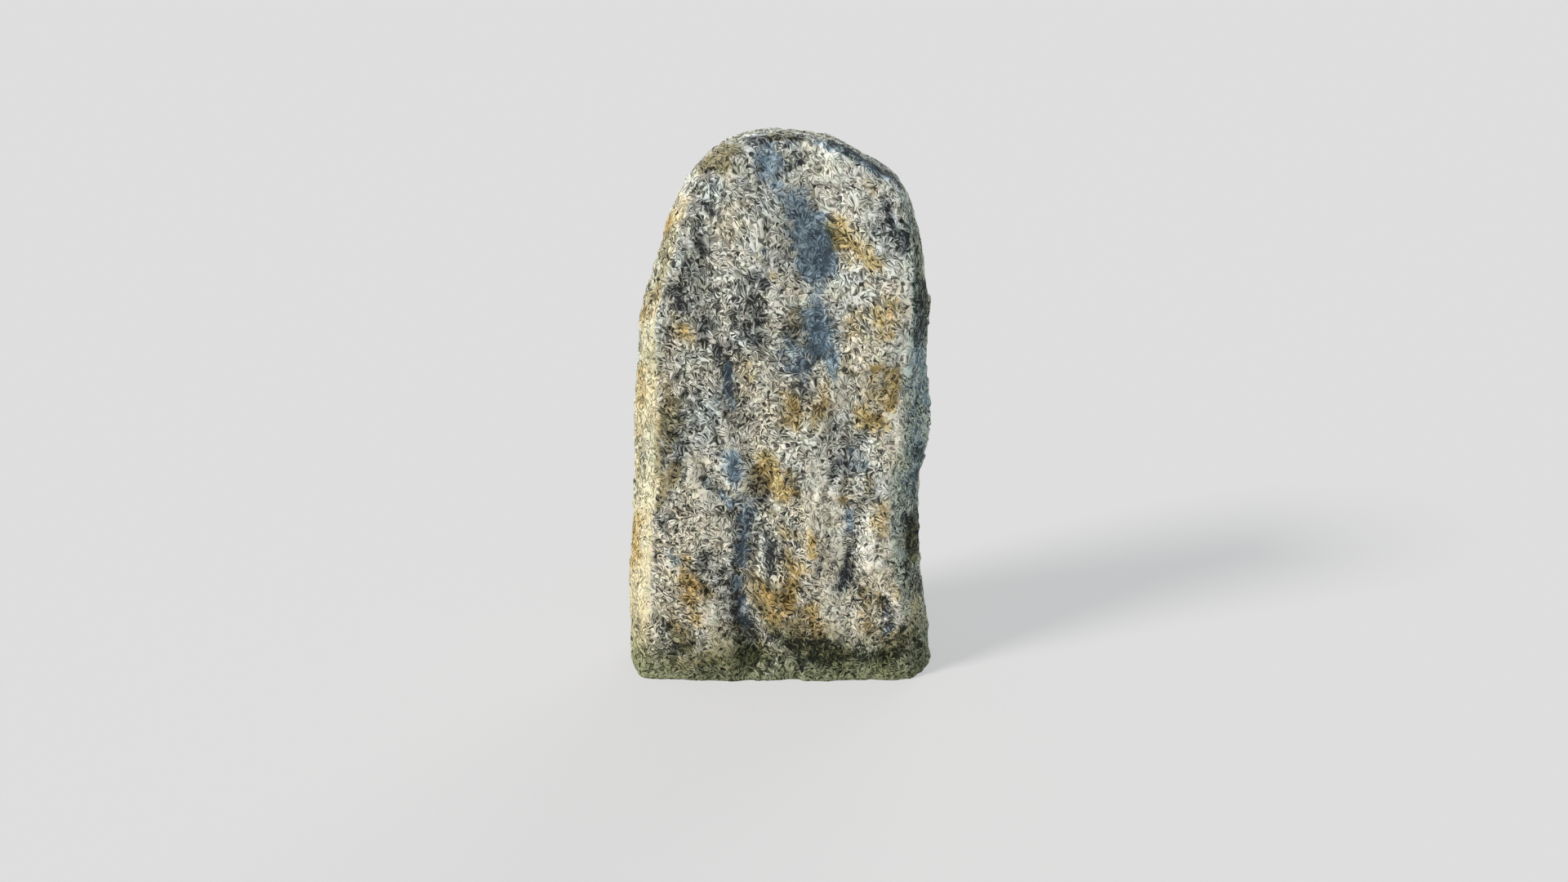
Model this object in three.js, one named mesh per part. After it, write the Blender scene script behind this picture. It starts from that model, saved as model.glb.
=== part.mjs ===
// A weathered, round-topped headstone: one rough upright slab of stone, cut off flat at ground level.
//
// Millimetres, +Z up. The worn face looks towards -Y, +X is to the right of someone who reads it, and the
// origin is in the middle of the flat foot.
//
// The slab is built like a pillow case. Its widest outline, the girth, is a curve in the XZ plane. A
// front and a back sheet fill that outline a little way in from it, and a rounded rim joins them round
// the edge. The whole skin is then worn: hollows, flutes and ribs follow paths down each sheet, and
// lumps of three sizes cover everything.
import * as THREE from 'three';
import { mergeVertices } from 'three/addons/utils/BufferGeometryUtils.js';
import { ImprovedNoise } from 'three/addons/math/ImprovedNoise.js';

// ---- driving dimensions -------------------------------------------------------------------------

const HEIGHT = 1051;
const FOOT_THICKNESS = 198;
const TOP_THICKNESS = 138;
const CROWN = 8; // how far the middle of each sheet stands out from its edges

// The girth, as [x, z], up the left side, over the round top and down the right side.
const GIRTH = [
  [-312, 0], [-308, 120], [-304, 230], [-299, 330], [-292, 400], [-287, 480], [-280, 580], [-271, 645],
  [-262, 705], [-246, 765], [-227, 812], [-211, 858], [-205, 896], [-186, 936], [-165, 972], [-138, 1000],
  [-92, 1034], [-50, 1047], [0, HEIGHT], [45, 1049], [84, 1041], [128, 1021], [168, 996], [207, 970],
  [232, 930], [248, 880], [263, 810], [274, 740], [279, 660], [282, 590], [287, 520], [284, 460],
  [273, 405], [273, 365], [278, 300], [284, 215], [296, 115], [311, 0],
];
const TOP_SHARE = 0.17; // the share of the girth's length between its two 45 degree points, over the top

// How far the sheets' edges lie in from the girth, as [height, inset]: broad cants low down, a narrow
// one on top.
const LEFT_CANT = [[0, 40], [140, 46], [330, 58], [500, 60], [640, 50], [760, 34], [880, 26], [HEIGHT, 15]];
const RIGHT_CANT = [
  [0, 60], [140, 68], [330, 62], [450, 70], [540, 60], [640, 50], [760, 36], [880, 22], [HEIGHT, 15],
];
const TOP_BLEND = 100; // each side's cant takes over this far from the middle
const RIM_ROUNDNESS = 1.35; // exponent of the rim's superellipse: 1 is a flat cant, 2 an ellipse

// Mesh steps: across and up each sheet, and round the rim from front to back.
const ACROSS = 30;
const UP = 50;
const ROUND = 9;

// Wear on the front sheet. Each path is worn to its depth along its points, [x, z], and fades out at its
// reach from them. A negative depth is a rib that stands out.
const FRONT_WEAR = [
  { name: 'groove down from the top', depth: 9, reach: 56, path: [[-2, 1046], [16, 1000], [44, 950]] },
  { name: 'upper hollow', depth: 28, reach: 74, path: [[66, 905], [80, 872], [86, 832]] },
  { name: 'hollow below it', depth: 21, reach: 76, path: [[86, 716], [84, 670]] },
  {
    name: 'rib left of the hollow',
    depth: -9,
    reach: 50,
    path: [[-66, 990], [-36, 915], [-24, 830], [-14, 760]],
  },
  {
    name: 'shoulder right of the hollow',
    depth: -8,
    reach: 75,
    path: [[180, 950], [208, 860], [208, 740], [190, 640]],
  },
  {
    name: 'long flute on the left',
    depth: 11,
    reach: 42,
    path: [[-128, 860], [-134, 800], [-122, 750], [-116, 700], [-88, 650], [-82, 580], [-66, 535]],
  },
  { name: 'short flute', depth: 10, reach: 38, path: [[-22, 800], [-28, 745], [-24, 695]] },
  { name: 'dip above the lower flute', depth: 12, reach: 44, path: [[-68, 470], [-66, 446]] },
  {
    name: 'lower flute',
    depth: 24,
    reach: 54,
    path: [[-42, 380], [-38, 340], [-50, 295], [-56, 245], [-66, 200], [-68, 150], [-56, 100], [-50, 50]],
  },
  { name: 'slanting groove', depth: 11, reach: 32, path: [[-134, 430], [-104, 384], [-76, 345]] },
  { name: 'lip under the slanting groove', depth: -8, reach: 34, path: [[-170, 450], [-152, 390], [-136, 326]] },
  { name: 'rib between the flutes', depth: -9, reach: 60, path: [[64, 500], [70, 400], [70, 300], [74, 220]] },
  { name: 'narrow groove', depth: 15, reach: 28, path: [[142, 360], [144, 330], [142, 285], [134, 212]] },
  { name: 'dip above the narrow groove', depth: 11, reach: 46, path: [[152, 484], [154, 450]] },
  { name: 'pit in the middle', depth: 12, reach: 38, path: [[-32, 444], [-26, 410]] },
  { name: 'slot', depth: 9, reach: 28, path: [[-4, 305], [-8, 225]] },
  { name: 'left pillar', depth: -8, reach: 60, path: [[-190, 330], [-190, 180], [-196, 60]] },
  { name: 'swelling beside the narrow groove', depth: -9, reach: 50, path: [[192, 330], [180, 230]] },
  { name: 'groove at the right foot', depth: 13, reach: 44, path: [[166, 205], [190, 150], [208, 105], [220, 50]] },
  { name: 'swelling at the right foot', depth: -10, reach: 70, path: [[256, 160], [270, 60]] },
];

// Wear on the back sheet: broad runnels, a spalled shelf and a few pits.
const BACK_WEAR = [
  {
    name: 'broad runnel',
    depth: 20,
    reach: 66,
    path: [[-84, 1020], [-96, 900], [-70, 760], [-88, 600], [-60, 480]],
  },
  {
    name: 'second runnel',
    depth: 16,
    reach: 50,
    path: [[96, 880], [118, 740], [104, 600], [128, 440], [112, 330]],
  },
  { name: 'foot runnel', depth: 18, reach: 52, path: [[-20, 360], [-36, 240], [-12, 120], [-20, 0]] },
  { name: 'spalled shelf', depth: 13, reach: 95, path: [[-180, 420], [-150, 330]] },
  { name: 'belly', depth: -8, reach: 130, path: [[30, 700], [20, 520]] },
  { name: 'upper pit', depth: 8, reach: 34, path: [[60, 970], [84, 952]] },
  { name: 'lower pit', depth: 8, reach: 36, path: [[190, 200], [176, 170]] },
];

// Lumps over the whole skin: the height of each size, its spread sideways and its longer spread
// downwards.
const LUMPS = [
  { height: 10, sideways: 100, downwards: 240 },
  { height: 8, sideways: 48, downwards: 84 },
  { height: 5, sideways: 28, downwards: 36 },
];
const LUMPS_ON_RIM = 0.6; // the rim's lumps, as a share of the sheets'
const LUMP_DRIFT = 17.3; // in noise cells: moves each size to its own part of the noise

const SAME_PLACE = 1e-3; // points nearer than this are one point

// ---- the girth and what lies in from it ---------------------------------------------------------

const girthPoints = GIRTH.map(([x, z]) => new THREE.Vector3(x, 0, z));
const girth = new THREE.CatmullRomCurve3(girthPoints, false, 'centripetal');
girth.arcLengthDivisions = 2000; // fine enough to measure along the curve to a millimetre

const smooth = (t) => THREE.MathUtils.smoothstep(t, 0, 1);

/** Reads a list of [place, value] pairs at a place between them. */
function along(pairs, place) {
  const next = Math.max(1, pairs.findIndex(([p]) => p >= place));
  const [p0, v0] = pairs[next - 1];
  const [p1, v1] = pairs[next];
  return THREE.MathUtils.lerp(v0, v1, smooth((place - p0) / (p1 - p0)));
}

const thickness = (z) => THREE.MathUtils.lerp(FOOT_THICKNESS, TOP_THICKNESS, smooth(z / HEIGHT));

/** The share of the girth's length at each step: up the left side, across the top, down the right side. */
function girthShare(step) {
  const side = (1 - TOP_SHARE) / 2;
  if (step <= UP) return (side * step) / UP;
  if (step <= UP + ACROSS) return side + (TOP_SHARE * (step - UP)) / ACROSS;
  return side + TOP_SHARE + (side * (step - UP - ACROSS)) / UP;
}

/** How far the sheets' edges lie in from a point of the girth. The two sides' cants blend over the top. */
function cant({ x, z }) {
  const rightwards = THREE.MathUtils.smoothstep(x, -TOP_BLEND, TOP_BLEND);
  return THREE.MathUtils.lerp(along(LEFT_CANT, z), along(RIGHT_CANT, z), rightwards);
}

/** A point of the rim, by its step along the girth and its turn: 0 at the front sheet, 1 at the back one. */
function rimPoint(step, turn) {
  const share = girthShare(step);
  const point = girth.getPointAt(share);
  const tangent = girth.getTangentAt(share);
  const inwards = new THREE.Vector3(tangent.z, 0, -tangent.x);
  const angle = (turn - 0.5) * Math.PI;
  const bend = 2 / RIM_ROUNDNESS;
  const inset = 1 - Math.abs(Math.cos(angle)) ** bend;
  const depth = Math.sign(angle) * Math.abs(Math.sin(angle)) ** bend;
  point.z = THREE.MathUtils.clamp(point.z, 0, HEIGHT);
  point.y = (thickness(point.z) / 2) * depth;
  point.addScaledVector(inwards, cant(point) * inset);
  const atFoot = step === 0 || step === 2 * UP + ACROSS;
  if (atFoot) point.z = 0;
  return point;
}

/** A point of a sheet, filled in between its four edges. */
function sheetPoint(i, j, turn) {
  const u = i / ACROSS;
  const v = j / UP;
  const left = rimPoint(j, turn);
  const right = rimPoint(2 * UP + ACROSS - j, turn);
  const top = rimPoint(UP + i, turn);
  const corner = [0, 2 * UP + ACROSS, UP, UP + ACROSS].map((step) => rimPoint(step, turn));
  const bottom = corner[0].clone().lerp(corner[1], u);
  const across = left.clone().lerp(right, u);
  const upwards = bottom.clone().lerp(top, v);
  const shared = corner[0].clone().lerp(corner[1], u).lerp(corner[2].clone().lerp(corner[3], u), v);
  const point = across.add(upwards).sub(shared);
  const swell = Math.sin(Math.PI * u) * Math.sin((Math.PI * (v + 1)) / 2);
  point.y += Math.sign(turn - 0.5) * CROWN * Math.max(0, swell);
  return point;
}

// ---- the skin -----------------------------------------------------------------------------------

/** Lists the corners of a grid's cells, four to a cell, anticlockwise as seen from outside. */
function gridCells(columns, rows, pointAt) {
  const corners = [];
  for (let i = 0; i < columns; i += 1) {
    for (let j = 0; j < rows; j += 1) {
      corners.push(pointAt(i, j), pointAt(i + 1, j), pointAt(i + 1, j + 1), pointAt(i, j + 1));
    }
  }
  return corners;
}

/** The flat foot: the outline of the lowest row of points filled in, three corners to a triangle. */
function footTriangles() {
  const last = 2 * UP + ACROSS;
  const outline = [];
  for (let i = 0; i < ACROSS; i += 1) outline.push(sheetPoint(i, 0, 0));
  for (let k = 0; k < ROUND; k += 1) outline.push(rimPoint(last, k / ROUND));
  for (let i = ACROSS; i > 0; i -= 1) outline.push(sheetPoint(i, 0, 1));
  for (let k = ROUND; k > 0; k -= 1) outline.push(rimPoint(0, k / ROUND));
  const flat = outline.map((p) => new THREE.Vector2(p.x, p.y));
  const triangles = THREE.ShapeUtils.triangulateShape(flat, []);
  return triangles.flatMap(([a, b, c]) => [outline[a], outline[c], outline[b]]);
}

/** The slab before it is worn: a geometry of its points, and the numbers of the points round each cell. */
function smoothSlab() {
  const cellCorners = [
    ...gridCells(ACROSS, UP, (i, j) => sheetPoint(i, j, 0)),
    ...gridCells(ACROSS, UP, (i, j) => sheetPoint(ACROSS - i, j, 1)),
    ...gridCells(ROUND, 2 * UP + ACROSS, (k, step) => rimPoint(step, 1 - k / ROUND)),
  ];
  const corners = [...cellCorners, ...footTriangles()];
  const geometry = mergeVertices(new THREE.BufferGeometry().setFromPoints(corners), SAME_PLACE);
  const numbers = Array.from(geometry.index.array);
  const cells = [];
  for (let i = 0; i < cellCorners.length; i += 4) cells.push(numbers.slice(i, i + 4));
  return { geometry, cells, foot: numbers.slice(cellCorners.length) };
}

/** Splits each cell along its shorter diagonal, so that the facets follow the flutes, not cut across them. */
function setFacets({ geometry, cells, foot }) {
  const position = geometry.attributes.position;
  const span = (a, b) => new THREE.Vector3()
    .fromBufferAttribute(position, a)
    .distanceTo(new THREE.Vector3().fromBufferAttribute(position, b));
  const facets = cells.flatMap(([a, b, c, d]) => {
    return span(a, c) < span(b, d) ? [a, b, c, a, c, d] : [a, b, d, b, c, d];
  });
  geometry.setIndex([...facets, ...foot]);
  geometry.computeVertexNormals();
}

// ---- wear ---------------------------------------------------------------------------------------

const segment = new THREE.Line3();
const nearest = new THREE.Vector3();

function distanceToPath(point, path) {
  let least = Infinity;
  for (let i = 1; i < path.length; i += 1) {
    segment.start.set(path[i - 1][0], 0, path[i - 1][1]);
    segment.end.set(path[i][0], 0, path[i][1]);
    segment.closestPointToPoint(point, true, nearest);
    least = Math.min(least, nearest.distanceTo(point));
  }
  return least;
}

/** How deep a sheet is worn at a point of its face. */
function wearDepth(wear, x, z) {
  const point = new THREE.Vector3(x, 0, z);
  return wear.reduce((sum, { depth, reach, path }) => {
    return sum + depth * smooth(1 - distanceToPath(point, path) / reach);
  }, 0);
}

const noise = new ImprovedNoise();

function lumpHeight(x, y, z) {
  return LUMPS.reduce((sum, { height, sideways, downwards }, size) => {
    const drift = LUMP_DRIFT * (size + 1);
    return sum + height * noise.noise(x / sideways + drift, y / sideways, z / downwards);
  }, 0);
}

/** Moves every point of the skin along its normal, by the wear of the sheet that it is on and by the lumps. */
function weather(geometry) {
  const position = geometry.attributes.position;
  const normal = geometry.attributes.normal;
  const point = new THREE.Vector3();
  const outwards = new THREE.Vector3();
  for (let i = 0; i < position.count; i += 1) {
    point.fromBufferAttribute(position, i);
    outwards.fromBufferAttribute(normal, i);
    const onFoot = point.z < SAME_PLACE;
    if (onFoot) outwards.setZ(0).normalize();
    const wear = outwards.y < 0 ? FRONT_WEAR : BACK_WEAR;
    const facing = smooth(Math.abs(outwards.y));
    const lumps = THREE.MathUtils.lerp(LUMPS_ON_RIM, 1, facing) * lumpHeight(point.x, point.y, point.z);
    const rise = lumps - facing * wearDepth(wear, point.x, point.z);
    point.addScaledVector(outwards, rise);
    position.setXYZ(i, point.x, point.y, onFoot ? 0 : point.z);
  }
}

/** Puts the middle of the foot's box on the origin. */
function centre(geometry) {
  geometry.computeBoundingBox();
  const middle = geometry.boundingBox.getCenter(new THREE.Vector3());
  geometry.translate(-middle.x, -middle.y, -geometry.boundingBox.min.z);
}

// ---- the part -----------------------------------------------------------------------------------

function makeHeadstone() {
  const slab = smoothSlab();
  setFacets(slab);
  weather(slab.geometry);
  centre(slab.geometry);
  setFacets(slab);
  const lichenedStone = new THREE.MeshStandardMaterial({ color: 0xa8a294, roughness: 0.95, metalness: 0 });
  const mesh = new THREE.Mesh(slab.geometry, lichenedStone);
  mesh.name = 'headstone';
  return mesh;
}

const part = new THREE.Group();
part.add(makeHeadstone());

export default part;
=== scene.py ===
# %% [markdown]
# # A weathered headstone
#
# One upright slab of stone with a round top. Rain has worn flutes down its face, and a crust of pale lichen
# covers nearly all of it, with ochre patches, dark streaks, and blue-grey in the hollows: partly damp stone
# and partly painted shade.
#
# The imported model gives the stone its size and its large forms: the outline, the canted edges, the hollows
# and flutes. This lesson takes a copy of that solid, gives it the fine broken surface of old stone, and
# then dresses it in lichen. We start by loading the frame and keeping its size, so that we can check at the
# end that the finished stone still fits it.

# %% Load the frame
import math

import bmesh
import bpy
import numpy as np
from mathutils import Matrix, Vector


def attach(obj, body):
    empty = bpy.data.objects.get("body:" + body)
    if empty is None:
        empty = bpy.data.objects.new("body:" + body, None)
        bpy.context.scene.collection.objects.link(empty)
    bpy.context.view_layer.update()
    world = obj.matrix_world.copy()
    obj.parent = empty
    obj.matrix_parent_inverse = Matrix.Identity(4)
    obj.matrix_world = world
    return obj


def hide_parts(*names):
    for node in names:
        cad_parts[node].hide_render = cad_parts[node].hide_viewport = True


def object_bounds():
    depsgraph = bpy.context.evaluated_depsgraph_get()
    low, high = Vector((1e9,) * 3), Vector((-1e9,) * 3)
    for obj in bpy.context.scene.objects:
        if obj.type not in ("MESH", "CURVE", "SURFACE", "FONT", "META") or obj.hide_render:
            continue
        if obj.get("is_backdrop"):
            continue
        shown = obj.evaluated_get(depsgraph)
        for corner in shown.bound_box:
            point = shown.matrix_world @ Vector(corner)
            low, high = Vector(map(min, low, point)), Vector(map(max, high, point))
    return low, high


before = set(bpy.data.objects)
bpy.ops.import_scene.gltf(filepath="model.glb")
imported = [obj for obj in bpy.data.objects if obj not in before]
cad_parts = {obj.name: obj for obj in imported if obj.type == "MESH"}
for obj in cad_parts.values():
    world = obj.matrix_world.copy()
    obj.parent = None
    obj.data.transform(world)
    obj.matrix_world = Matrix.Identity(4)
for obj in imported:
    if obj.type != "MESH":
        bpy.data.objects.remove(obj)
cad_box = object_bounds()
stone_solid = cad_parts["headstone"]
WIDTH, THICKNESS, HEIGHT = cad_box[1] - cad_box[0]
print("the stone is %.3f m wide, %.3f m thick and %.3f m high" % (WIDTH, THICKNESS, HEIGHT))

# %% [markdown]
# ## The camera
#
# The camera stands nearly two metres in front of the stone, a little above its top, and looks down at it.
# Its field of view is wide, so the foot of the stone looks further away than the top. Blender takes a lens
# length for a 36 mm sensor, so we work that out from the field of view.

# %% Camera
EYE_HEIGHT = 1.173  # m
EYE_DISTANCE = 1.931  # m, to the middle of the stone's thickness
EYE_SIDEWAYS = 0.006  # m
EYE_PITCH = math.radians(20)  # down from level
VERTICAL_FIELD = math.radians(45)
PICTURE_SHAPE = 1920 / 1080
SENSOR_WIDTH = 36  # mm

camera = bpy.data.objects.new("camera", bpy.data.cameras.new("camera"))
bpy.context.collection.objects.link(camera)
bpy.context.scene.camera = camera
camera.data.sensor_width = SENSOR_WIDTH
camera.data.lens = SENSOR_WIDTH / 2 / (math.tan(VERTICAL_FIELD / 2) * PICTURE_SHAPE)
camera.location = (EYE_SIDEWAYS, -EYE_DISTANCE, EYE_HEIGHT)
camera.rotation_euler = (math.pi / 2 - EYE_PITCH, 0, 0)
print("lens %.1f mm" % camera.data.lens)

# %% [markdown]
# ## Small helpers for node trees
#
# The floor, the stone's fine surface and its finish are all built from nodes. A few helpers keep that
# short: one adds a node and fills in its inputs, and the others do arithmetic. An input takes either a
# plain value or the output of another node. A Mix node has a pair of inputs for each kind of data, and they
# share their names, so those go by number.

# %% Node helpers
MIX_SOCKETS = {"FLOAT": (2, 3, 0), "VECTOR": (4, 5, 1), "RGBA": (6, 7, 2)}  # two inputs and the output


def add_node(tree, kind, inputs, **settings):
    node = tree.nodes.new(kind)
    for setting, value in settings.items():
        setattr(node, setting, value)
    for socket, value in inputs.items():
        if isinstance(value, bpy.types.NodeSocket):
            tree.links.new(value, node.inputs[socket])
        else:
            node.inputs[socket].default_value = value
    return node


def calc(tree, operation, *values):
    """Arithmetic on numbers: the result's socket."""
    return add_node(tree, "ShaderNodeMath", dict(enumerate(values)), operation=operation).outputs[0]


def vector(tree, operation, *values):
    """Arithmetic on vectors: the node, because some operations give a Vector and some a Value."""
    return add_node(tree, "ShaderNodeVectorMath", dict(enumerate(values)), operation=operation)


def mix(tree, kind, share, under, over, **settings):
    """Blends two values of one kind."""
    under_input, over_input, output = MIX_SOCKETS[kind]
    inputs = {0: share, under_input: under, over_input: over}
    return add_node(tree, "ShaderNodeMix", inputs, data_type=kind, **settings).outputs[output]


def fade(tree, value, start, end):
    """Goes smoothly from 0 where the value is at start to 1 where it is at end."""
    inputs = {"Value": value, 1: start, 2: end}
    return add_node(tree, "ShaderNodeMapRange", inputs, interpolation_type="SMOOTHSTEP").outputs[0]


def noise_about_zero(tree, place, scale, strength):
    """Noise that strays from zero by up to half its strength."""
    noise = {"Vector": place, "Scale": scale, "Detail": 3.0, "Roughness": 0.6}
    value = add_node(tree, "ShaderNodeTexNoise", noise).outputs["Fac"]
    return calc(tree, "MULTIPLY", calc(tree, "SUBTRACT", value, 0.5), strength)


# %% [markdown]
# ## Light and floor
#
# Worn stone shows its form only when light crosses it from one side. A soft key light from the upper left
# fills the left edge with light and leaves the hollows and the right edge in shade. A weak, broad light
# from behind lifts the far side, and the sky is a dim, cool fill. The camera sees the sky as the same pale
# grey as the floor, so there is no horizon behind the stone.

# %% Lights
KEY_FROM = Vector((-1.0, -0.45, 0.75))
KEY_STRENGTH = 3.1
KEY_SOFTNESS = math.radians(14)
BACK_FROM = Vector((0.5, 1.0, 0.6))
BACK_STRENGTH = 0.7
BACK_SOFTNESS = math.radians(40)


def add_sun(name, comes_from, strength, softness):
    """Adds a sun lamp and returns how much light it throws on the floor."""
    sun = bpy.data.objects.new(name, bpy.data.lights.new(name, "SUN"))
    bpy.context.collection.objects.link(sun)
    sun.rotation_euler = (-comes_from).to_track_quat("-Z", "Y").to_euler()
    sun.data.energy = strength
    sun.data.angle = softness
    return strength * comes_from.normalized().z / math.pi


key_on_floor = add_sun("key_light", KEY_FROM, KEY_STRENGTH, KEY_SOFTNESS)
back_on_floor = add_sun("back_light", BACK_FROM, BACK_STRENGTH, BACK_SOFTNESS)
print("on the floor, the key light gives %.2f and the back light %.2f" % (key_on_floor, back_on_floor))

# %% Sky
SKY_COLOUR = Vector((0.80, 0.90, 1.0))
SKY_STRENGTH = 0.36
BACKDROP_GREY = 0.73
BACKDROP_COLOUR = (BACKDROP_GREY, BACKDROP_GREY, BACKDROP_GREY, 1)


def show_camera(tree, plain, shown, share, output):
    """Lays a share of one shader over another, for the camera alone. Light only meets the plain one."""
    camera_looks = add_node(tree, "ShaderNodeLightPath", {}).outputs["Is Camera Ray"]
    inputs = {0: calc(tree, "MULTIPLY", camera_looks, share), 1: plain.outputs[0], 2: shown.outputs[0]}
    layered = add_node(tree, "ShaderNodeMixShader", inputs)
    tree.links.new(layered.outputs[0], tree.nodes[output].inputs["Surface"])


world = bpy.data.worlds.new("studio")
bpy.context.scene.world = world
world.use_nodes = True
sky = world.node_tree.nodes["Background"]
sky.inputs["Color"].default_value = (*SKY_COLOUR, 1)
sky.inputs["Strength"].default_value = SKY_STRENGTH
backdrop = add_node(world.node_tree, "ShaderNodeBackground", {"Color": BACKDROP_COLOUR})
show_camera(world.node_tree, sky, backdrop, 1.0, "World Output")
bpy.context.scene.view_settings.view_transform = "Standard"
print(len(world.node_tree.nodes), "nodes in the sky")

# %% [markdown]
# The floor's paint is worked out from the light that falls on it, so that the lit floor comes out the same
# plain grey as the backdrop behind it. The camera sees a part of that grey as a glow, which thins the
# shadow.

# %% Floor
FLOOR_REACH = 60  # m
GLOW_SHARE = 0.6

light_on_floor = [key_on_floor + back_on_floor + SKY_STRENGTH * channel for channel in SKY_COLOUR]
floor_paint = [BACKDROP_GREY / light for light in light_on_floor]
bpy.ops.mesh.primitive_plane_add(size=2 * FLOOR_REACH)
floor = bpy.context.object
floor.name = "floor"
paint = bpy.data.materials.new("floor_paint")
paint.use_nodes = True
matt = paint.node_tree.nodes["Principled BSDF"]
matt.inputs["Base Color"].default_value = (*floor_paint, 1)
matt.inputs["Roughness"].default_value = 1
matt.inputs["Specular IOR Level"].default_value = 0
glow = add_node(paint.node_tree, "ShaderNodeEmission", {"Color": BACKDROP_COLOUR})
show_camera(paint.node_tree, matt, glow, GLOW_SHARE, "Material Output")
floor.data.materials.append(paint)
floor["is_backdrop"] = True
print("floor paint", [round(channel, 3) for channel in floor_paint])

# %% [markdown]
# ## The cage
#
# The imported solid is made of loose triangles. A subdivision surface works best on four-sided faces, so we
# merge the triangles' shared corners, make one face of the flat foot, and pair the other triangles up
# again.

# %% Make the cage
FOOT_TOP = 1e-4  # m, what lies lower is the flat foot
STRAIGHT_DOWN = -0.999  # a face whose normal has a lower Z looks at the ground
MERGE_REACH = 1e-5  # m
PAIRING_ANGLE = math.radians(70)  # how much a pair of triangles may be bent or skewed


def cage_from(solid, name):
    mesh = bpy.data.meshes.new(name)
    shape = bmesh.new()
    shape.from_mesh(solid.data)
    bmesh.ops.remove_doubles(shape, verts=shape.verts, dist=MERGE_REACH)
    looking_down = [face for face in shape.faces if face.normal.z < STRAIGHT_DOWN]
    foot_faces = [face for face in looking_down if face.calc_center_median().z < FOOT_TOP]
    bmesh.ops.dissolve_faces(shape, faces=foot_faces)
    others = [face for face in shape.faces if len(face.verts) == 3]
    bmesh.ops.join_triangles(
        shape,
        faces=others,
        angle_face_threshold=PAIRING_ANGLE,
        angle_shape_threshold=PAIRING_ANGLE,
    )
    shape.to_mesh(mesh)
    shape.free()
    cage = bpy.data.objects.new(name, mesh)
    bpy.context.collection.objects.link(cage)
    return cage


cage = cage_from(stone_solid, "cage")
corner_counts = np.array([len(face.vertices) for face in cage.data.polygons])
quads, triangles = (corner_counts == 4).sum(), (corner_counts == 3).sum()
print("%d faces, %d with four sides, %d with three" % (len(corner_counts), quads, triangles))

# %% [markdown]
# ## The broken surface
#
# Close up, the stone isn't smooth anywhere. It breaks into thumb-sized chips that each lie at their own
# slant, with pits where a crystal has dropped out, and a finer grain over all. This could be sculpted by
# hand, but it follows a rule, so Geometry Nodes make it: subdivide the cage, then push each point along its
# normal.
#
# A Voronoi texture gives the chips. Each cell has a random colour, which we read as a random slant, and a
# centre, and the height is how far a point lies along that slant from the centre. Some cells of another
# such texture hold a pit, deepest at the centre. The grain is plain noise.

# %% Chips and pits
MEAN_COLOUR = (0.5, 0.5, 0.5)  # of all random colours
PITTED_FROM = 0.62  # a cell whose random number is larger has a pit
PIT_RIM, PIT_FLOOR = 0.42, 0.10  # from a cell's centre, where 1 is the size of a cell


def cells_of(tree, place, size):
    """The outputs of a Voronoi texture with cells of one size, in metres."""
    inputs = {"Vector": place, "Scale": calc(tree, "DIVIDE", 1.0, size)}
    return add_node(tree, "ShaderNodeTexVoronoi", inputs).outputs


def chip_height(tree, place, size, steepness):
    chips = cells_of(tree, place, size)
    slant = vector(tree, "SUBTRACT", chips["Color"], MEAN_COLOUR).outputs[0]
    from_centre = vector(tree, "SUBTRACT", place, chips["Position"]).outputs[0]
    along_slant = vector(tree, "DOT_PRODUCT", slant, from_centre).outputs["Value"]
    return calc(tree, "MULTIPLY", along_slant, steepness)


def pit_height(tree, place, size, depth):
    pits = cells_of(tree, place, size)
    lottery = add_node(tree, "ShaderNodeSeparateXYZ", {0: pits["Color"]}).outputs["X"]
    drawn = calc(tree, "GREATER_THAN", lottery, PITTED_FROM)
    shape = calc(tree, "MULTIPLY", fade(tree, pits["Distance"], PIT_RIM, PIT_FLOOR), drawn)
    return calc(tree, "MULTIPLY", shape, calc(tree, "MULTIPLY", depth, -1.0))


# %% [markdown]
# The finish will need to know more than the shape: how deep each point lies in its cavity, and which way
# the stone faces there on the whole. Both come from blurring. A point lies deep where the average of the
# points round it lies further out, and the blurred normal is the way that the stone faces under its chips.
# We store both as attributes, on the points of the mesh.

# %% What each point remembers
CAVITY_STEPS = {"fine_cavity": 6, "broad_cavity": 60}  # how many times its surroundings are averaged
FACING_STEPS = 40


def blurred(tree, value, steps):
    inputs = {"Value": value, "Iterations": steps}
    return add_node(tree, "GeometryNodeBlurAttribute", inputs, data_type="FLOAT_VECTOR").outputs[0]


def remember(tree, geometry, name, value, kind):
    """Stores a value on each point of the mesh."""
    inputs = {"Geometry": geometry, "Name": name, "Value": value}
    settings = {"data_type": kind, "domain": "POINT"}
    return add_node(tree, "GeometryNodeStoreNamedAttribute", inputs, **settings).outputs[0]


def cavity_depth(tree, place, normal, steps):
    """How far each point lies below the smoothed surface round it, in metres. On a crest it is negative."""
    rise = vector(tree, "SUBTRACT", blurred(tree, place, steps), place).outputs[0]
    return vector(tree, "DOT_PRODUCT", rise, normal).outputs["Value"]


# %% [markdown]
# Now the tree itself. The flat foot has to stay flat: its edge is creased, so that subdivision doesn't
# round it, and the upward part of each push fades out just above it.

# %% Geometry Nodes tree for the broken surface
FOOT_FADE = 0.015  # m, the height at which points are first pushed up or down in full
SEED_SHIFT = (3.1, 5.3, 7.7)  # m, how far each seed moves the textures


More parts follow.
